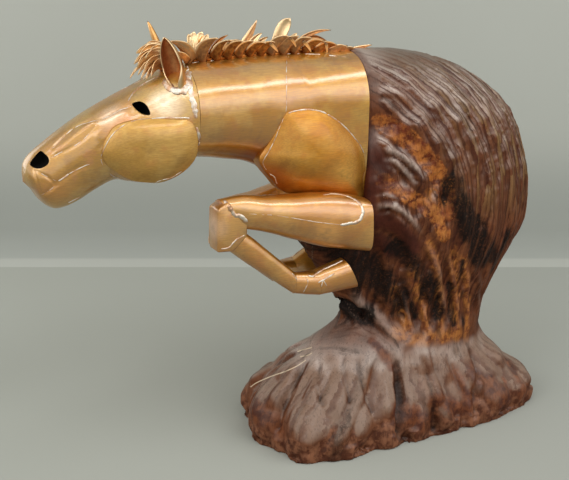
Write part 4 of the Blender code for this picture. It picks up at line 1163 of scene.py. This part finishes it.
# Painted shade, dark orange, low at the rear of the near cheek.
cheek_painted_shade = (-0.50, -0.09, 0.575), 0.05, "#BC7420"
cheek_gold = sheet_metal("olive_gold_cheek", "#CA9C4C", "#D2A85C", "#CE9654", [cheek_painted_shade], 0.25)
outline = [(cheek_rear - a * cheek_length, cheek_top - 0.004 - b * cheek_height) for a, b in cheek_shares]
cheeks = []
for side, name in ((-1, "cheek_near"), (1, "cheek_far")):
    cheek_work = domed_plate(outline, cheek_edge_y, 0.0255, 0.0165, side, 4.0, head_skin, 0.014)
    cheek = beaten_sheet(name + "_plate", cheek_work, (0.0008, 0.050, 7), cheek_gold)
    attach(cheek, "root")
    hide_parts(name)
    cheeks.append(cheek)


# Forelegs: forearm, knee, cannon, fetlock and hoof, each rolled or folded from sheet and brazed
# to the next. Both are tucked up; the far one is carried lower and further back.
def soft_block(outline, y, width, soft):
    """A plate-sided block on a closed outline of (x, z) corners, its edges rounded."""
    work = bmesh.new()
    made = bmesh.ops.create_circle(work, cap_ends=True, segments=len(outline), radius=0.01)["verts"]
    for vert, corner in zip(made, outline):
        vert.co = Vector((corner[0], y - width / 2, corner[1]))
    pushed = bmesh.ops.extrude_face_region(work, geom=list(work.faces))["geom"]
    for item in pushed:
        if isinstance(item, bmesh.types.BMVert):
            item.co.y += width
    bmesh.ops.recalc_face_normals(work, faces=work.faces)
    bmesh.ops.bevel(
        work,
        geom=list(work.edges),
        offset=soft,
        offset_type="OFFSET",
        segments=3,
        profile=0.5,
        affect="EDGES",
        material=-1,
    )
    return work


# Painted light, pale gold, low at the rear of the near forearm.
arm_painted_light = tuple(at_depth((330, 238), -0.150)), 0.050, "#FAB656"
leg_copper = sheet_metal("golden_copper_leg", "#CC8A28", "#D69E42", "#CA8434", [arm_painted_light])
# Painted highlights, pale pink, on the front of each knee.
near_knee_front = at_depth((214, 226), -0.100)
far_knee_front = near_knee_front + Vector((0.080, 0.200, -0.060))
knee_painted_highlights = [(tuple(spot), 0.036, "#FFD0A8") for spot in (near_knee_front, far_knee_front)]
knee_copper = sheet_metal("pink_copper_knee", "#CC8C30", "#D8A24E", "#D08A4C", knee_painted_highlights)


def leg_tube(name, rows, y, columns, steps):
    """A tube through (top, bottom, width, squareness) rows in the upright plane y."""
    flat = [(*top, *bottom, width, squareness) for top, bottom, width, squareness in rows]

    def point(u, v):
        row = row_between(flat, v)
        return hoop_point(u, row[0:2], row[2:4], row[4], 0.5, row[5], y)

    work = bmesh.new()
    skin_over(work, point, columns, steps)
    return beaten_sheet(name, work, (0.0006, 0.035, 4), leg_copper)


def straight_rows(start, end, shares, halves, widths, squareness):
    """Rows of a tube from start to end, at shares of the way. Half its depth, a vector, and its
    width go from the first of two values to the last."""
    rows = []
    for share in shares:
        middle, half = start.lerp(end, share), halves[0].lerp(halves[1], share)
        rows.append((middle + half, middle - half, widths[0] + (widths[1] - widths[0]) * share, squareness))
    return rows


# Corners of the knee in half lengths and half heights of it, from its upper front one.
knee_corners = ((-0.86, 0.76), (-0.20, 1.02), (1.02, 0.02), (1.0, -0.50), (0.10, -1.07), (-0.97, -1.02))
knee_half = Vector((0.031, 0.046))
# Rows of the forearm: share of the way back, then depth and width in shares of the full ones.
arm_shares = (
    (0.05, 0.60, 0.62), (0.22, 0.66, 0.76), (0.45, 0.85, 0.90), (0.68, 1.03, 1.0), (0.86, 1.05, 1.02),
)
arm_depth, arm_width = 0.104, 0.080
shin_depth, shin_width = 0.046, 0.038
lean = Vector((0.10, 0.99))
into_knee, shin_in_knee = Vector((-0.0124, 0.0019)), Vector((-0.0099, 0.0081))
seam_gap = Vector((0.0004, 0))
ankle_half = lean.normalized() * shin_depth * 0.86 * 1.06 / 2
coronet_half = Vector((-0.18, 0.98)).normalized() * shin_depth * 1.10 / 2
sole_half = Vector((-0.42, 0.91)).normalized() * 0.034
ankle_width, coronet_width, sole_width = shin_width * 0.86, shin_width * 1.12, 0.054
fetlock_halves, fetlock_widths = (ankle_half, coronet_half), (ankle_width, coronet_width)
hoof_halves, hoof_widths = (coronet_half, sole_half), (coronet_width, sole_width)
legs, leg_joints = {}, {}
for side, label, knee_at, run_at, hoof_turn, arm_drop in (
    (-1, "near", (0.3025, 0.291), (0.1345, 0.135), 8, 0.326),
    (1, "far", (0.223, 0.351), (0.106, 0.119), 22, 0.322),
):
    leg_y = side * 0.100
    knee = Vector((collar_x - knee_at[0], crest_z - knee_at[1]))
    corners = [knee + Vector((knee_half.x * a, knee_half.y * b)) for a, b in knee_corners]
    knee_piece = set_down("knee_block_" + label, soft_block(corners, leg_y, 0.042, 0.0045), [knee_copper])

    seam_top, seam_bottom = corners[1], corners[2]
    arm_front = (seam_top + seam_bottom) / 2
    arm_rear = Vector((collar_x - 0.013, crest_z - arm_drop))
    arm_rows = [(seam_top + into_knee, seam_bottom + into_knee, 0.0378, 2.3)]
    for share, deep, wide in arm_shares:
        middle, half = arm_front.lerp(arm_rear, share), lean * arm_depth * deep / 2
        arm_rows.append((middle + half, middle - half, arm_width * wide, 2.3))
    arm_rows.append((arm_rear + Vector((0, 0.051)), arm_rear - Vector((0, 0.053)), 0.0784, 3.6))
    forearm = leg_tube("forearm_" + label + "_sheet", arm_rows, leg_y, 72, 64)

    shin_start = (corners[3] + corners[4]) / 2 + shin_in_knee
    shin_end = knee + Vector((run_at[0], -run_at[1]))
    run = (shin_end - shin_start).normalized()
    upward = Vector((-run.y, run.x))
    cannon_rows = []
    for share, scale in ((0.0, 1.0), (0.3, 0.98), (0.65, 0.88)):
        middle, half = shin_start.lerp(shin_end, share), upward * shin_depth * scale / 2
        cannon_rows.append((middle + half, middle - half, shin_width * scale, 2.6))
    cannon_rows.append((shin_end + ankle_half, shin_end - ankle_half, ankle_width, 2.6))
    cannon = leg_tube("cannon_" + label + "_sheet", cannon_rows, leg_y, 56, 36)

    turn = math.radians(hoof_turn)
    fetlock_turn = turn * 0.35 - 0.20
    ankle = shin_end + seam_gap
    coronet = ankle + Vector((math.cos(fetlock_turn), math.sin(fetlock_turn))) * 0.050
    shares = 0.0, 0.33, 0.66, 1.0
    fetlock_rows = straight_rows(ankle, coronet, shares, fetlock_halves, fetlock_widths, 2.4)
    fetlock = leg_tube("fetlock_" + label + "_sheet", fetlock_rows, leg_y, 56, 20)
    hoof_top = coronet + seam_gap
    sole = hoof_top + Vector((math.cos(turn), math.sin(turn))) * 0.073
    shares = 0.0, 0.33, 0.66, 0.93, 1.0
    hoof_rows = straight_rows(hoof_top, sole, shares, hoof_halves, hoof_widths, 2.3)
    hoof = leg_tube("hoof_" + label + "_sheet", hoof_rows, leg_y, 56, 28)
    legs[label] = {"knee": knee_piece, "forearm": forearm, "cannon": cannon, "fetlock": fetlock, "hoof": hoof}
    joints = arm_rows[0], arm_rows[-1], cannon_rows[-1], hoof_rows[-1]
    leg_joints[label] = [(row[0] + row[1]) / 2 for row in joints]
    for node, piece in legs[label].items():
        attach(piece, "root")
        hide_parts(node + "_" + label)


# Ears: each a blade of thin copper rolled to a cup that opens forward, its edges tinned silver,
# stood in a thick collar of solder. The far one is pulled further forward.
def leaf_metal(name, dull, warm, bright, roughness=0.34):
    """Thin copper leaf browned in the flame: streaked along its length, with edges filed bright and
    painted shade near its foot. It reads numbers kept on the leaf, each from 0 to 1: edge, tone
    and root."""
    made, tree, out, place = new_material(name)
    kept = [add(tree, "ShaderNodeAttribute", attribute_name=number) for number in ("edge", "tone", "root")]
    edge, tone, root = (node.outputs["Fac"] for node in kept)
    # Flame streaks about 6 mm apart.
    streak = noise_of(tree, place, 160.0, 3.0, 0.55)
    colour = mix(tree, between(tree, streak, 0.38, 0.62, form="LINEAR"), dull, warm)
    colour = mix(tree, tone, colour, bright)
    # Painted shade, dark brown, near the foot of the leaf.
    colour = mix(tree, times(tree, root, 0.75), colour, "#3E1C0C")
    colour = mix(tree, between(tree, edge, 0.25, 0.60, form="LINEAR"), colour, "#F0CFA2")
    streaked = bumped(tree, streak, 0.3, 0.001)
    cover(tree, out, {"Base Color": colour, "Metallic": 1.0, "Roughness": roughness, "Normal": streaked})
    return made


def walled(item, thickness, inner=0, rim=0):
    """A sheet given its thickness, with material steps for its inner side and its edge."""
    wall = item.modifiers.new("wall", "SOLIDIFY")
    wall.thickness = thickness
    wall.offset = 0.0
    wall.material_offset = inner
    wall.material_offset_rim = rim
    return item


ear_gold = leaf_metal("rolled_copper_ear", "#C4894A", "#D6A060", "#E6C08A", 0.28)
# The inside of each ear is a darker copy of its copper: painted shade in the cup.
ear_inside_shaded = leaf_metal("shaded_ear_inside", "#B4744A", "#CC905C", "#DCAC7C", 0.50)
tinned = leaf_metal("tinned_edge", "#C9C3B8", "#DAD4CA", "#E8E4DC", 0.30)
ear_y, ear_spread, ear_thickness = 0.048, 0.008, 0.0016
for side, label, foot_pixel, tip_pixel, opening, wide, bow in (
    (-1, "near", (178.0, 84.5), (164, 37.5), (-0.62, -0.78), 0.044, 0.001),
    (1, "far", (166, 66), (147.5, 21.5), (-0.90, 0.45), 0.019, -0.002),
):
    foot = at_depth(foot_pixel, side * ear_y)
    tip = at_depth(tip_pixel, side * (ear_y + ear_spread))
    rise = (tip - foot).normalized()
    outward = Vector((opening[0], opening[1], 0.0))
    outward = (outward - rise * outward.dot(rise)).normalized()
    sideways = rise.cross(outward)

    def ear_point(u, v):
        swell = (0.74 + 0.62 * v) * (1 - v ** 2.8) ** 0.85
        gap = 0.30 + 0.95 * float(ease(0.12, 0.50, v))
        angle = gap + (2 * math.pi - 2 * gap) * u
        middle = foot + (tip - foot) * (1.14 * v - 0.14) - outward * bow * 4 * v * (1 - v)
        turn = outward * math.cos(angle) + sideways * 0.86 * math.sin(angle)
        return middle + turn * (wide / 2 * swell + 0.0004)

    ear_work = bmesh.new()
    edge_layer = ear_work.verts.layers.float.new("edge")
    tone_layer = ear_work.verts.layers.float.new("tone")
    numbers = {edge_layer: lambda u, v: abs(2 * u - 1) ** 6, tone_layer: lambda u, v: 0.2}
    skin_over(ear_work, ear_point, 30, 34, numbers)
    blade = set_down("ear_" + label + "_blade", ear_work, [ear_gold, ear_inside_shaded, tinned])
    ear = walled(blade, ear_thickness, 1, 2)
    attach(ear, "root")
    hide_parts("ear_" + label)


# Mane and forelock: some fifty leaves snipped from thin copper, curled by hand, browned in the
# flame and brazed in rows to a strip along the crest and to a knob at the poll.
mane_brown = leaf_metal("flame_browned_leaf", "#8A4E24", "#B87538", "#FFDFAE")


def add_leaf(work, foot, tip, width, bow, tone, blunt, lip, side):
    """One curled leaf from foot to tip. Its upper edge is turned out and filed bright."""
    chord = tip - foot
    run = chord.normalized()
    facing = Vector((-0.25, side * 0.97, 0.0))
    facing = (facing - run * facing.dot(run)).normalized()
    across = facing.cross(chord).normalized()
    if across.z < 0:
        across.negate()

    def leaf_point(u, v):
        aside = 2 * u - 1
        if aside > 0:
            half = (0.9 + 0.55 * v) * (1 - v ** 2.6)
        else:
            half = 0.95 * (1 - v ** 1.25)
        half = width / 2 * (half * (1 - blunt) + blunt * (0.75 + 0.35 * v) * (1 - v ** 9)) + 0.0006
        spine = foot + chord * v + across * bow * 4 * v * (1 - v)
        curl = half * (0.30 * (1 - aside * aside) + lip * max(aside - 0.2, 0) ** 2)
        return spine + across * half * aside + facing * curl

    layers = work.verts.layers.float
    numbers = {
        layers["edge"]: lambda u, v: lip * max(0.0, (2 * u - 1.45) / 0.55) * min(1.0, 3 * v) + 0.5 * v ** 8,
        layers["tone"]: lambda u, v: tone,
        layers["root"]: lambda u, v: 1 - float(ease(0.0, 0.38, v)),
    }
    skin_over(work, leaf_point, 12, 14, numbers)


# Pixels of foot and tip, then foot and tip depth, width and upward bow in millimetres, how
# # bright the leaf is, how blunt its end and how far its lip is turned out. The brightness paints
# # light and shade too: the near row is dark for its shaded faces, and its thin pale slivers are
# # painted highlights.
near_leaves = (
    ((200, 62), (218, 38), -5, -20, 30, 9, 0.10, 0, 0.8),
    ((214, 60), (232, 40), -5, -20, 24, 6, 0.00, 0, 0.7),
    ((226, 58), (243, 41), -5, -20, 22, 6, 0.00, 0, 0.8),
    ((237, 57), (254, 41), -5, -20, 20, 6, 0.05, 0, 1.0),
    ((248, 56), (266, 43), -5, -19, 21, 6, 0.00, 0, 1.0),
    ((259, 55), (275, 42), -5, -19, 20, 5, 0.00, 0, 0.9),
    ((269, 54), (289, 36), -5, -18, 24, 6, 0.15, 0, 0.7),
    ((281, 54), (299, 36), -5, -18, 26, 5, 0.15, 0, 0.7),
    ((292, 53), (312, 38), -5, -17, 22, 6, 0.10, 0, 0.8),
    ((303, 53), (325, 42), -5, -17, 22, 7, 0.00, 0, 1.1),
    ((314, 54), (337, 45), -5, -16, 22, 6, 0.00, 0, 1.1),
    ((327, 55), (348, 47), -5, -14, 18, 4, 0.15, 0, 0.7),
    ((338, 56), (355, 48), -5, -12, 15, 3, 0.10, 0, 0.7),
    ((347, 57), (358, 52), -5, -9, 12, 2, 0.00, 0, 0.7),
    ((191, 62), (170, 41), -8, -22, 27, 8, 0.40, 0, 0.7),
    ((188, 62), (174, 52), -12, -26, 14, 3, 0.20, 0, 0.8),
    ((270, 43), (278, 52), -17, -12, 5, 0, 0.90, 0, 1.0),
    ((290, 38), (296, 47), -19, -14, 4, 1, 0.80, 0, 1.0),
    ((303, 41), (311, 52), -18, -12, 5, 1, 0.85, 0, 1.0),
    ((326, 43), (327, 53), -16, -12, 4, 0, 0.80, 0, 1.0),
    ((229, 42), (222, 51), -21, -12, 4, 1, 0.70, 0, 1.0),
)
far_leaves = (
    ((193, 60), (188.5, 34), 5, 14, 23, 3, 0.90, 0.5, 0.5),
    ((196, 59), (194, 31.5), 6, 17, 25, 2, 1.00, 0.5, 0.6),
    ((200, 58), (202, 31.5), 7, 19, 25, 2, 0.95, 0.5, 0.6),
    ((204, 58), (208, 34), 5, 16, 22, 2, 0.85, 0.4, 0.5),
    ((209, 58), (228, 35), 5, 18, 10, 6, 0.05, 0, 0.2),
    ((234, 56), (257, 20), 5, 14, 18, -8, 0.20, 0, 0.9),
    ((222, 58), (240, 40), 5, 20, 19, 5, 0.60, 0, 0.4),
    ((247, 55), (262, 33), 5, 18, 19, 3, 0.80, 0, 0.4),
    ((254, 55), (268, 37), 5, 20, 16, 4, 0.60, 0, 0.4),
    ((276, 52), (290, 18), 5, 12, 30, 4, 0.85, 0.80, 0.6),
    ((287, 52), (297, 33), 5, 18, 15, 2, 0.80, 0.2, 0.4),
    ((290, 49), (331, 30), 5, 16, 10, 9, 0.12, 0, 0.5),
    ((295, 51), (328, 42), 5, 17, 13, 15, 0.10, 0, 0.2),
    ((300, 52), (326, 43), 4, 12, 10, 7, 0.90, 0, 0.5),
    ((311, 53), (332, 44), 5, 18, 14, 4, 0.40, 0, 0.4),
    ((327, 54), (345, 47), 5, 16, 12, 3, 0.30, 0, 0.4),
    ((338, 55), (372, 45), 5, 9, 9, 1, 0.08, 0, 0.9),
)
forelock_leaves = (
    ((163, 51), (138, 60), 2, 0, 24, 9, 0.95, 0.2, 0.7),
    ((163, 49), (142, 47), 8, 10, 16, 3, 1.00, 0.2, 0.7),
    ((163, 47), (147, 43), 10, 14, 13, 2, 0.95, 0.3, 0.7),
    ((163, 50), (136, 53), 4, 2, 18, 6, 1.00, 0.3, 0.8),
    ((163, 52), (134, 64), -2, -4, 15, 8, 0.90, 0.2, 0.8),
    ((163, 55), (137, 67), -4, -8, 18, 9, 0.90, 0.1, 0.8),
    ((164, 53), (145, 58), -10, -20, 17, 5, 0.95, 0.2, 0.8),
    ((164, 50), (150, 50), -8, -14, 15, 3, 0.95, 0.3, 0.8),
    ((163, 57), (130, 78), 8, 8, 8, 9, 0.85, 0, 0.7),
    ((162, 58), (134, 73), 0, -4, 9, 8, 0.85, 0, 0.7),
    ((162, 60), (138, 75), -8, -14, 10, 8, 0.65, 0, 0.9),
    ((162, 62), (141, 79), -12, -20, 10, 7, 0.55, 0, 0.9),
    ((162, 64), (146, 80), -15, -25, 10, 6, 0.50, 0, 0.9),
    ((163, 65), (151, 77), -18, -29, 10, 5, 0.55, 0, 0.9),
    ((163, 58), (144, 69), -14, -26, 12, 6, 0.75, 0, 0.9),
    ((164, 60), (152, 70), -18, -30, 10, 4, 0.70, 0, 0.9),
)
leaf_sets = (
    ("mane_near_row", near_leaves, -1),
    ("mane_far_row", far_leaves, 1),
    ("forelock_leaves", forelock_leaves, -1),
)
for name, rows, side in leaf_sets:
    leaf_work = bmesh.new()
    for number in ("edge", "tone", "root"):
        leaf_work.verts.layers.float.new(number)
    for foot_pixel, tip_pixel, foot_y, tip_y, width, bow, tone, blunt, lip in rows:
        foot = at_depth(foot_pixel, foot_y / 1000)
        tip = at_depth(tip_pixel, tip_y / 1000)
        add_leaf(leaf_work, foot, tip, width / 1000, bow / 1000, tone, blunt, lip, side)
    leaves = walled(set_down(name, leaf_work, [mane_brown]), 0.0013)
    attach(leaves, "root")
strip_work = bmesh.new()
bmesh.ops.create_cube(strip_work, size=1.0)
strip_start, strip_end = throat_x + 0.010, collar_x - 0.002
strip_width, strip_height, strip_z = 0.006, 0.013, crest_z + 0.0015
for vert in strip_work.verts:
    along_x = (strip_start + strip_end) / 2 + vert.co.x * (strip_end - strip_start)
    vert.co = Vector((along_x, vert.co.y * strip_width, strip_z + vert.co.z * strip_height))
long_edges = [e for e in strip_work.edges if abs(e.verts[0].co.x - e.verts[1].co.x) > 0.1]
bmesh.ops.subdivide_edges(strip_work, edges=long_edges, cuts=60, use_grid_fill=True)
beaten(strip_work, 0.0018, 0.012, 9)
strip = set_down("mane_strip", strip_work, [mane_brown])
poll = at_depth((164, 58), 0.0)
knob_work = bmesh.new()
bmesh.ops.create_uvsphere(knob_work, u_segments=32, v_segments=20, radius=1.0)
for vert in knob_work.verts:
    vert.co = poll + Vector((vert.co.x * 0.017, vert.co.y * 0.020, vert.co.z * 0.020 - 0.004))
beaten(knob_work, 0.002, 0.010, 8)
knob = set_down("forelock_root", knob_work, [mane_brown])
for piece in (strip, knob):
    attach(piece, "root")
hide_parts("mane")
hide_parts("forelock")


# Solder: silver-white beads and smears along every seam, flowed by hand and left lumpy.
solder, solder_tree, solder_out, solder_place = new_material("silver_solder")
# Lumps about 3 mm across, darker with flux in between.
lump = noise_of(solder_tree, solder_place, 330.0, 3.0)
flux = between(solder_tree, noise_of(solder_tree, solder_place, 60.0, 3.0), 0.44, 0.60, form="LINEAR")
solder_finish = {
    "Base Color": mix(solder_tree, flux, "#E4DACC", "#C8A080"),
    "Metallic": 1.0,
    "Roughness": 0.42,
    "Normal": bumped(solder_tree, lump, 0.6, 0.0012),
}
cover(solder_tree, solder_out, solder_finish)


def even_steps(points, step):
    """The broken line cut again into steps of about the same length."""
    gaps = [(b - a).length for a, b in zip(points, points[1:])]
    total = sum(gaps)
    wanted = max(2, int(total / step))
    line = []
    k, walked = 0, 0.0
    for n in range(wanted + 1):
        goal = total * n / wanted
        while k < len(gaps) - 1 and walked + gaps[k] < goal:
            walked += gaps[k]
            k += 1
        line.append(points[k].lerp(points[k + 1], min(1.0, (goal - walked) / max(gaps[k], 1e-9))))
    return line


def add_bead(work, skin, line, size, broken, seed):
    """A lumpy run of solder along a line, laid on a skin. Size is its width across the line and
    its height over the skin, in millimetres."""
    width, height = size[0] / 1000, size[1] / 1000
    rests = [skin.find_nearest(point) for point in even_steps(line, 0.0018)]
    spots = [found[0] for found in rests]
    normals = [found[1] for found in rests]
    last = len(spots) - 1

    def bead_point(u, v):
        k = min(int(round(v * last)), last)
        run = (spots[min(k + 1, last)] - spots[max(k - 1, 0)]).normalized()
        up = (normals[k] - run * normals[k].dot(run)).normalized()
        lumps = 1 + 0.45 * noise.noise(spots[k] / 0.0045 + Vector((seed, 0, 0)))
        if broken:
            patchy = noise.noise(spots[k] / 0.012 + Vector((0, seed, 3)))
            lumps *= float(ease(-0.15, 0.10, patchy + 0.5 - broken))
        ends = math.sqrt(max(0.0, 1 - (2 * v - 1) ** 12))
        thick = max(lumps * ends, 0.02)
        angle = 2 * math.pi * u
        sway = 0.25 * width * noise.noise(spots[k] / 0.009 + Vector((0, 0, seed)))
        aside = run.cross(up) * (width / 2 * thick * math.cos(angle) + sway)
        return spots[k] + aside + up * height * (thick * math.sin(angle) - 0.15)

    skin_over(work, bead_point, 10, last)


near_skin = tree_of(neck, chest, head, cheeks[0], shoulders[0], *legs["near"].values())
far_skin = tree_of(neck, chest, head, cheeks[1], shoulders[1])
far_leg_skin = tree_of(*legs["far"].values())

# Pixels along each run, width and height in millimetres, and how broken it is.
head_runs = (
    (((158, 76), (150, 80), (143, 84), (136, 90), (131, 96), (128, 101)), (3.2, 0.8), 0.1),
    (((132, 106), (120, 110), (109, 116), (99, 120)), (1.8, 0.5), 0.25),
    (((99, 120), (90, 122), (80, 125), (70, 131), (61, 140), (52, 149)), (2.0, 0.5), 0.2),
    (((98, 122), (92, 130), (84, 139), (74, 146), (62, 152), (50, 158)), (1.6, 0.4), 0.3),
    (((190, 118), (180, 118), (168, 117.5), (158, 118), (151, 119)), (3.6, 1.1), 0.0),
    (((151, 119), (143, 119), (133, 121), (124, 125), (116, 131), (110, 138), (105, 147), (101, 158),
      (103, 166)), (1.9, 0.6), 0.25),
    (((109, 173), (118, 178), (130, 181), (143, 182.5), (158, 181.5), (171, 178), (182, 171)),
     (2.4, 0.8), 0.1),
    (((58, 181), (61, 179.5), (65, 177), (69, 174)), (3.2, 1.0), 0.0),
    (((41, 195), (50, 190), (58, 183)), (1.6, 0.4), 0.3),
    (((69, 174), (78, 169), (90, 164)), (1.8, 0.5), 0.3),
    (((68, 203), (74, 200), (80, 197)), (2.2, 0.7), 0.2),
    (((36, 170), (44, 175), (50, 178), (56, 181)), (1.3, 0.3), 0.4),
    (((165, 78), (167, 84), (172, 89), (179, 91), (186, 88.5), (188.5, 82), (186, 75)), (15.0, 3.0), 0.0),
    (((186.5, 66), (189.5, 80), (192.0, 94), (194.5, 108), (196, 119)), (10.0, 0.8), 0.0),
    (((196, 127), (198.5, 135), (198.5, 144), (196, 152)), (7.0, 1.8), 0.15),
)
body_runs = (
    (((191, 63), (205, 60), (220, 58.5), (240, 57), (262, 55.5), (286, 54), (310, 54), (330, 55.5),
      (347, 57)), (4.2, 1.6), 0.45),
    (((286, 55), (286.5, 70), (286.5, 88), (286.5, 104), (286, 113)), (1.8, 0.5), 0.3),
    (((286, 114), (295, 111), (305, 109.5), (315, 110), (325, 113), (335, 119), (345, 127), (354, 137),
      (361, 147), (364, 153)), (3.0, 1.0), 0.05),
    (((286, 114), (281, 124), (275, 139), (269, 151), (263, 162), (265, 168)), (1.8, 0.5), 0.2),
    (((265, 168), (270, 174), (276, 181), (285, 193)), (2.2, 0.6), 0.1),
)
arm_runs = (
    (((323, 195), (335, 193.5), (347, 196), (356, 200), (361.5, 206.5), (363, 213), (360, 219.5),
      (353, 223), (340, 224.7)), (6.5, 1.4), 0.0),
    (((340, 224.7), (328, 223.5), (313, 221.5), (290, 217.5), (270, 215), (249, 214)), (1.2, 0.3), 0.3),
    (((224, 200), (229, 207), (235, 214), (242, 217.5), (247.5, 222.5)), (8.0, 2.0), 0.0),
)
shin_runs = (
    (((245, 235), (240, 237.5), (235, 241), (229, 247.5), (221, 249)), (2.8, 1.0), 0.1),
    (((292, 273), (297, 280), (295, 293)), (2.2, 0.7), 0.1),
    (((305, 277), (308, 282), (303, 292.5)), (2.0, 0.6), 0.1),
    (((323, 280), (321, 287), (318, 295)), (2.2, 0.7), 0.1),
    (((318, 283), (325, 279), (335, 273)), (2.8, 0.8), 0.0),
    (((323, 280), (327, 286), (332, 293)), (1.8, 0.5), 0.1),
    (((307, 275), (313, 276), (320, 271), (328, 267), (337, 263), (343, 260)), (5.0, 1.6), 0.0),
)


def mirrored(point):
    """The point on the other side of the sculpture."""
    return Vector((point.x, -point.y, point.z))


def similarity(a, b, c, d):
    """The turn and scale in the upright plane that takes points a and b to c and d, with a change
    of side."""
    factor = complex(*(d - c)) / complex(*(b - a))

    def moved_point(point):
        spot = complex(point.x - a.x, point.z - a.y) * factor
        return Vector((c.x + spot.real, -point.y, c.y + spot.imag))

    return moved_point


near_joints, far_joints = leg_joints["near"], leg_joints["far"]
to_far_arm = similarity(*near_joints[:2], *far_joints[:2])
to_far_shin = similarity(*near_joints[2:], *far_joints[2:])
# Runs, the way to the far side and the skin there, and the seeds of the first near and far bead.
solder_sets = {
    "head_solder": ((head_runs, mirrored, far_skin, 0, 40),),
    "body_solder": ((body_runs, mirrored, far_skin, 0, 40),),
    "leg_solder": (
        (arm_runs, to_far_arm, far_leg_skin, 80, 120),
        (shin_runs, to_far_shin, far_leg_skin, 80 + len(arm_runs), 120 + len(arm_runs)),
    ),
}
for name, sets in solder_sets.items():
    solder_work = bmesh.new()
    for runs, to_far, other_skin, near_seed, far_seed in sets:
        for number, (pixels, size, broken) in enumerate(runs):
            line = smooth_line(seen(near_skin, pixels), 6)
            add_bead(solder_work, near_skin, line, size, broken, near_seed + number)
            add_bead(solder_work, other_skin, [to_far(p) for p in line], size, broken, far_seed + number)
    close_up(solder_work)
    beads = set_down(name, solder_work, [solder])
    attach(beads, "root")
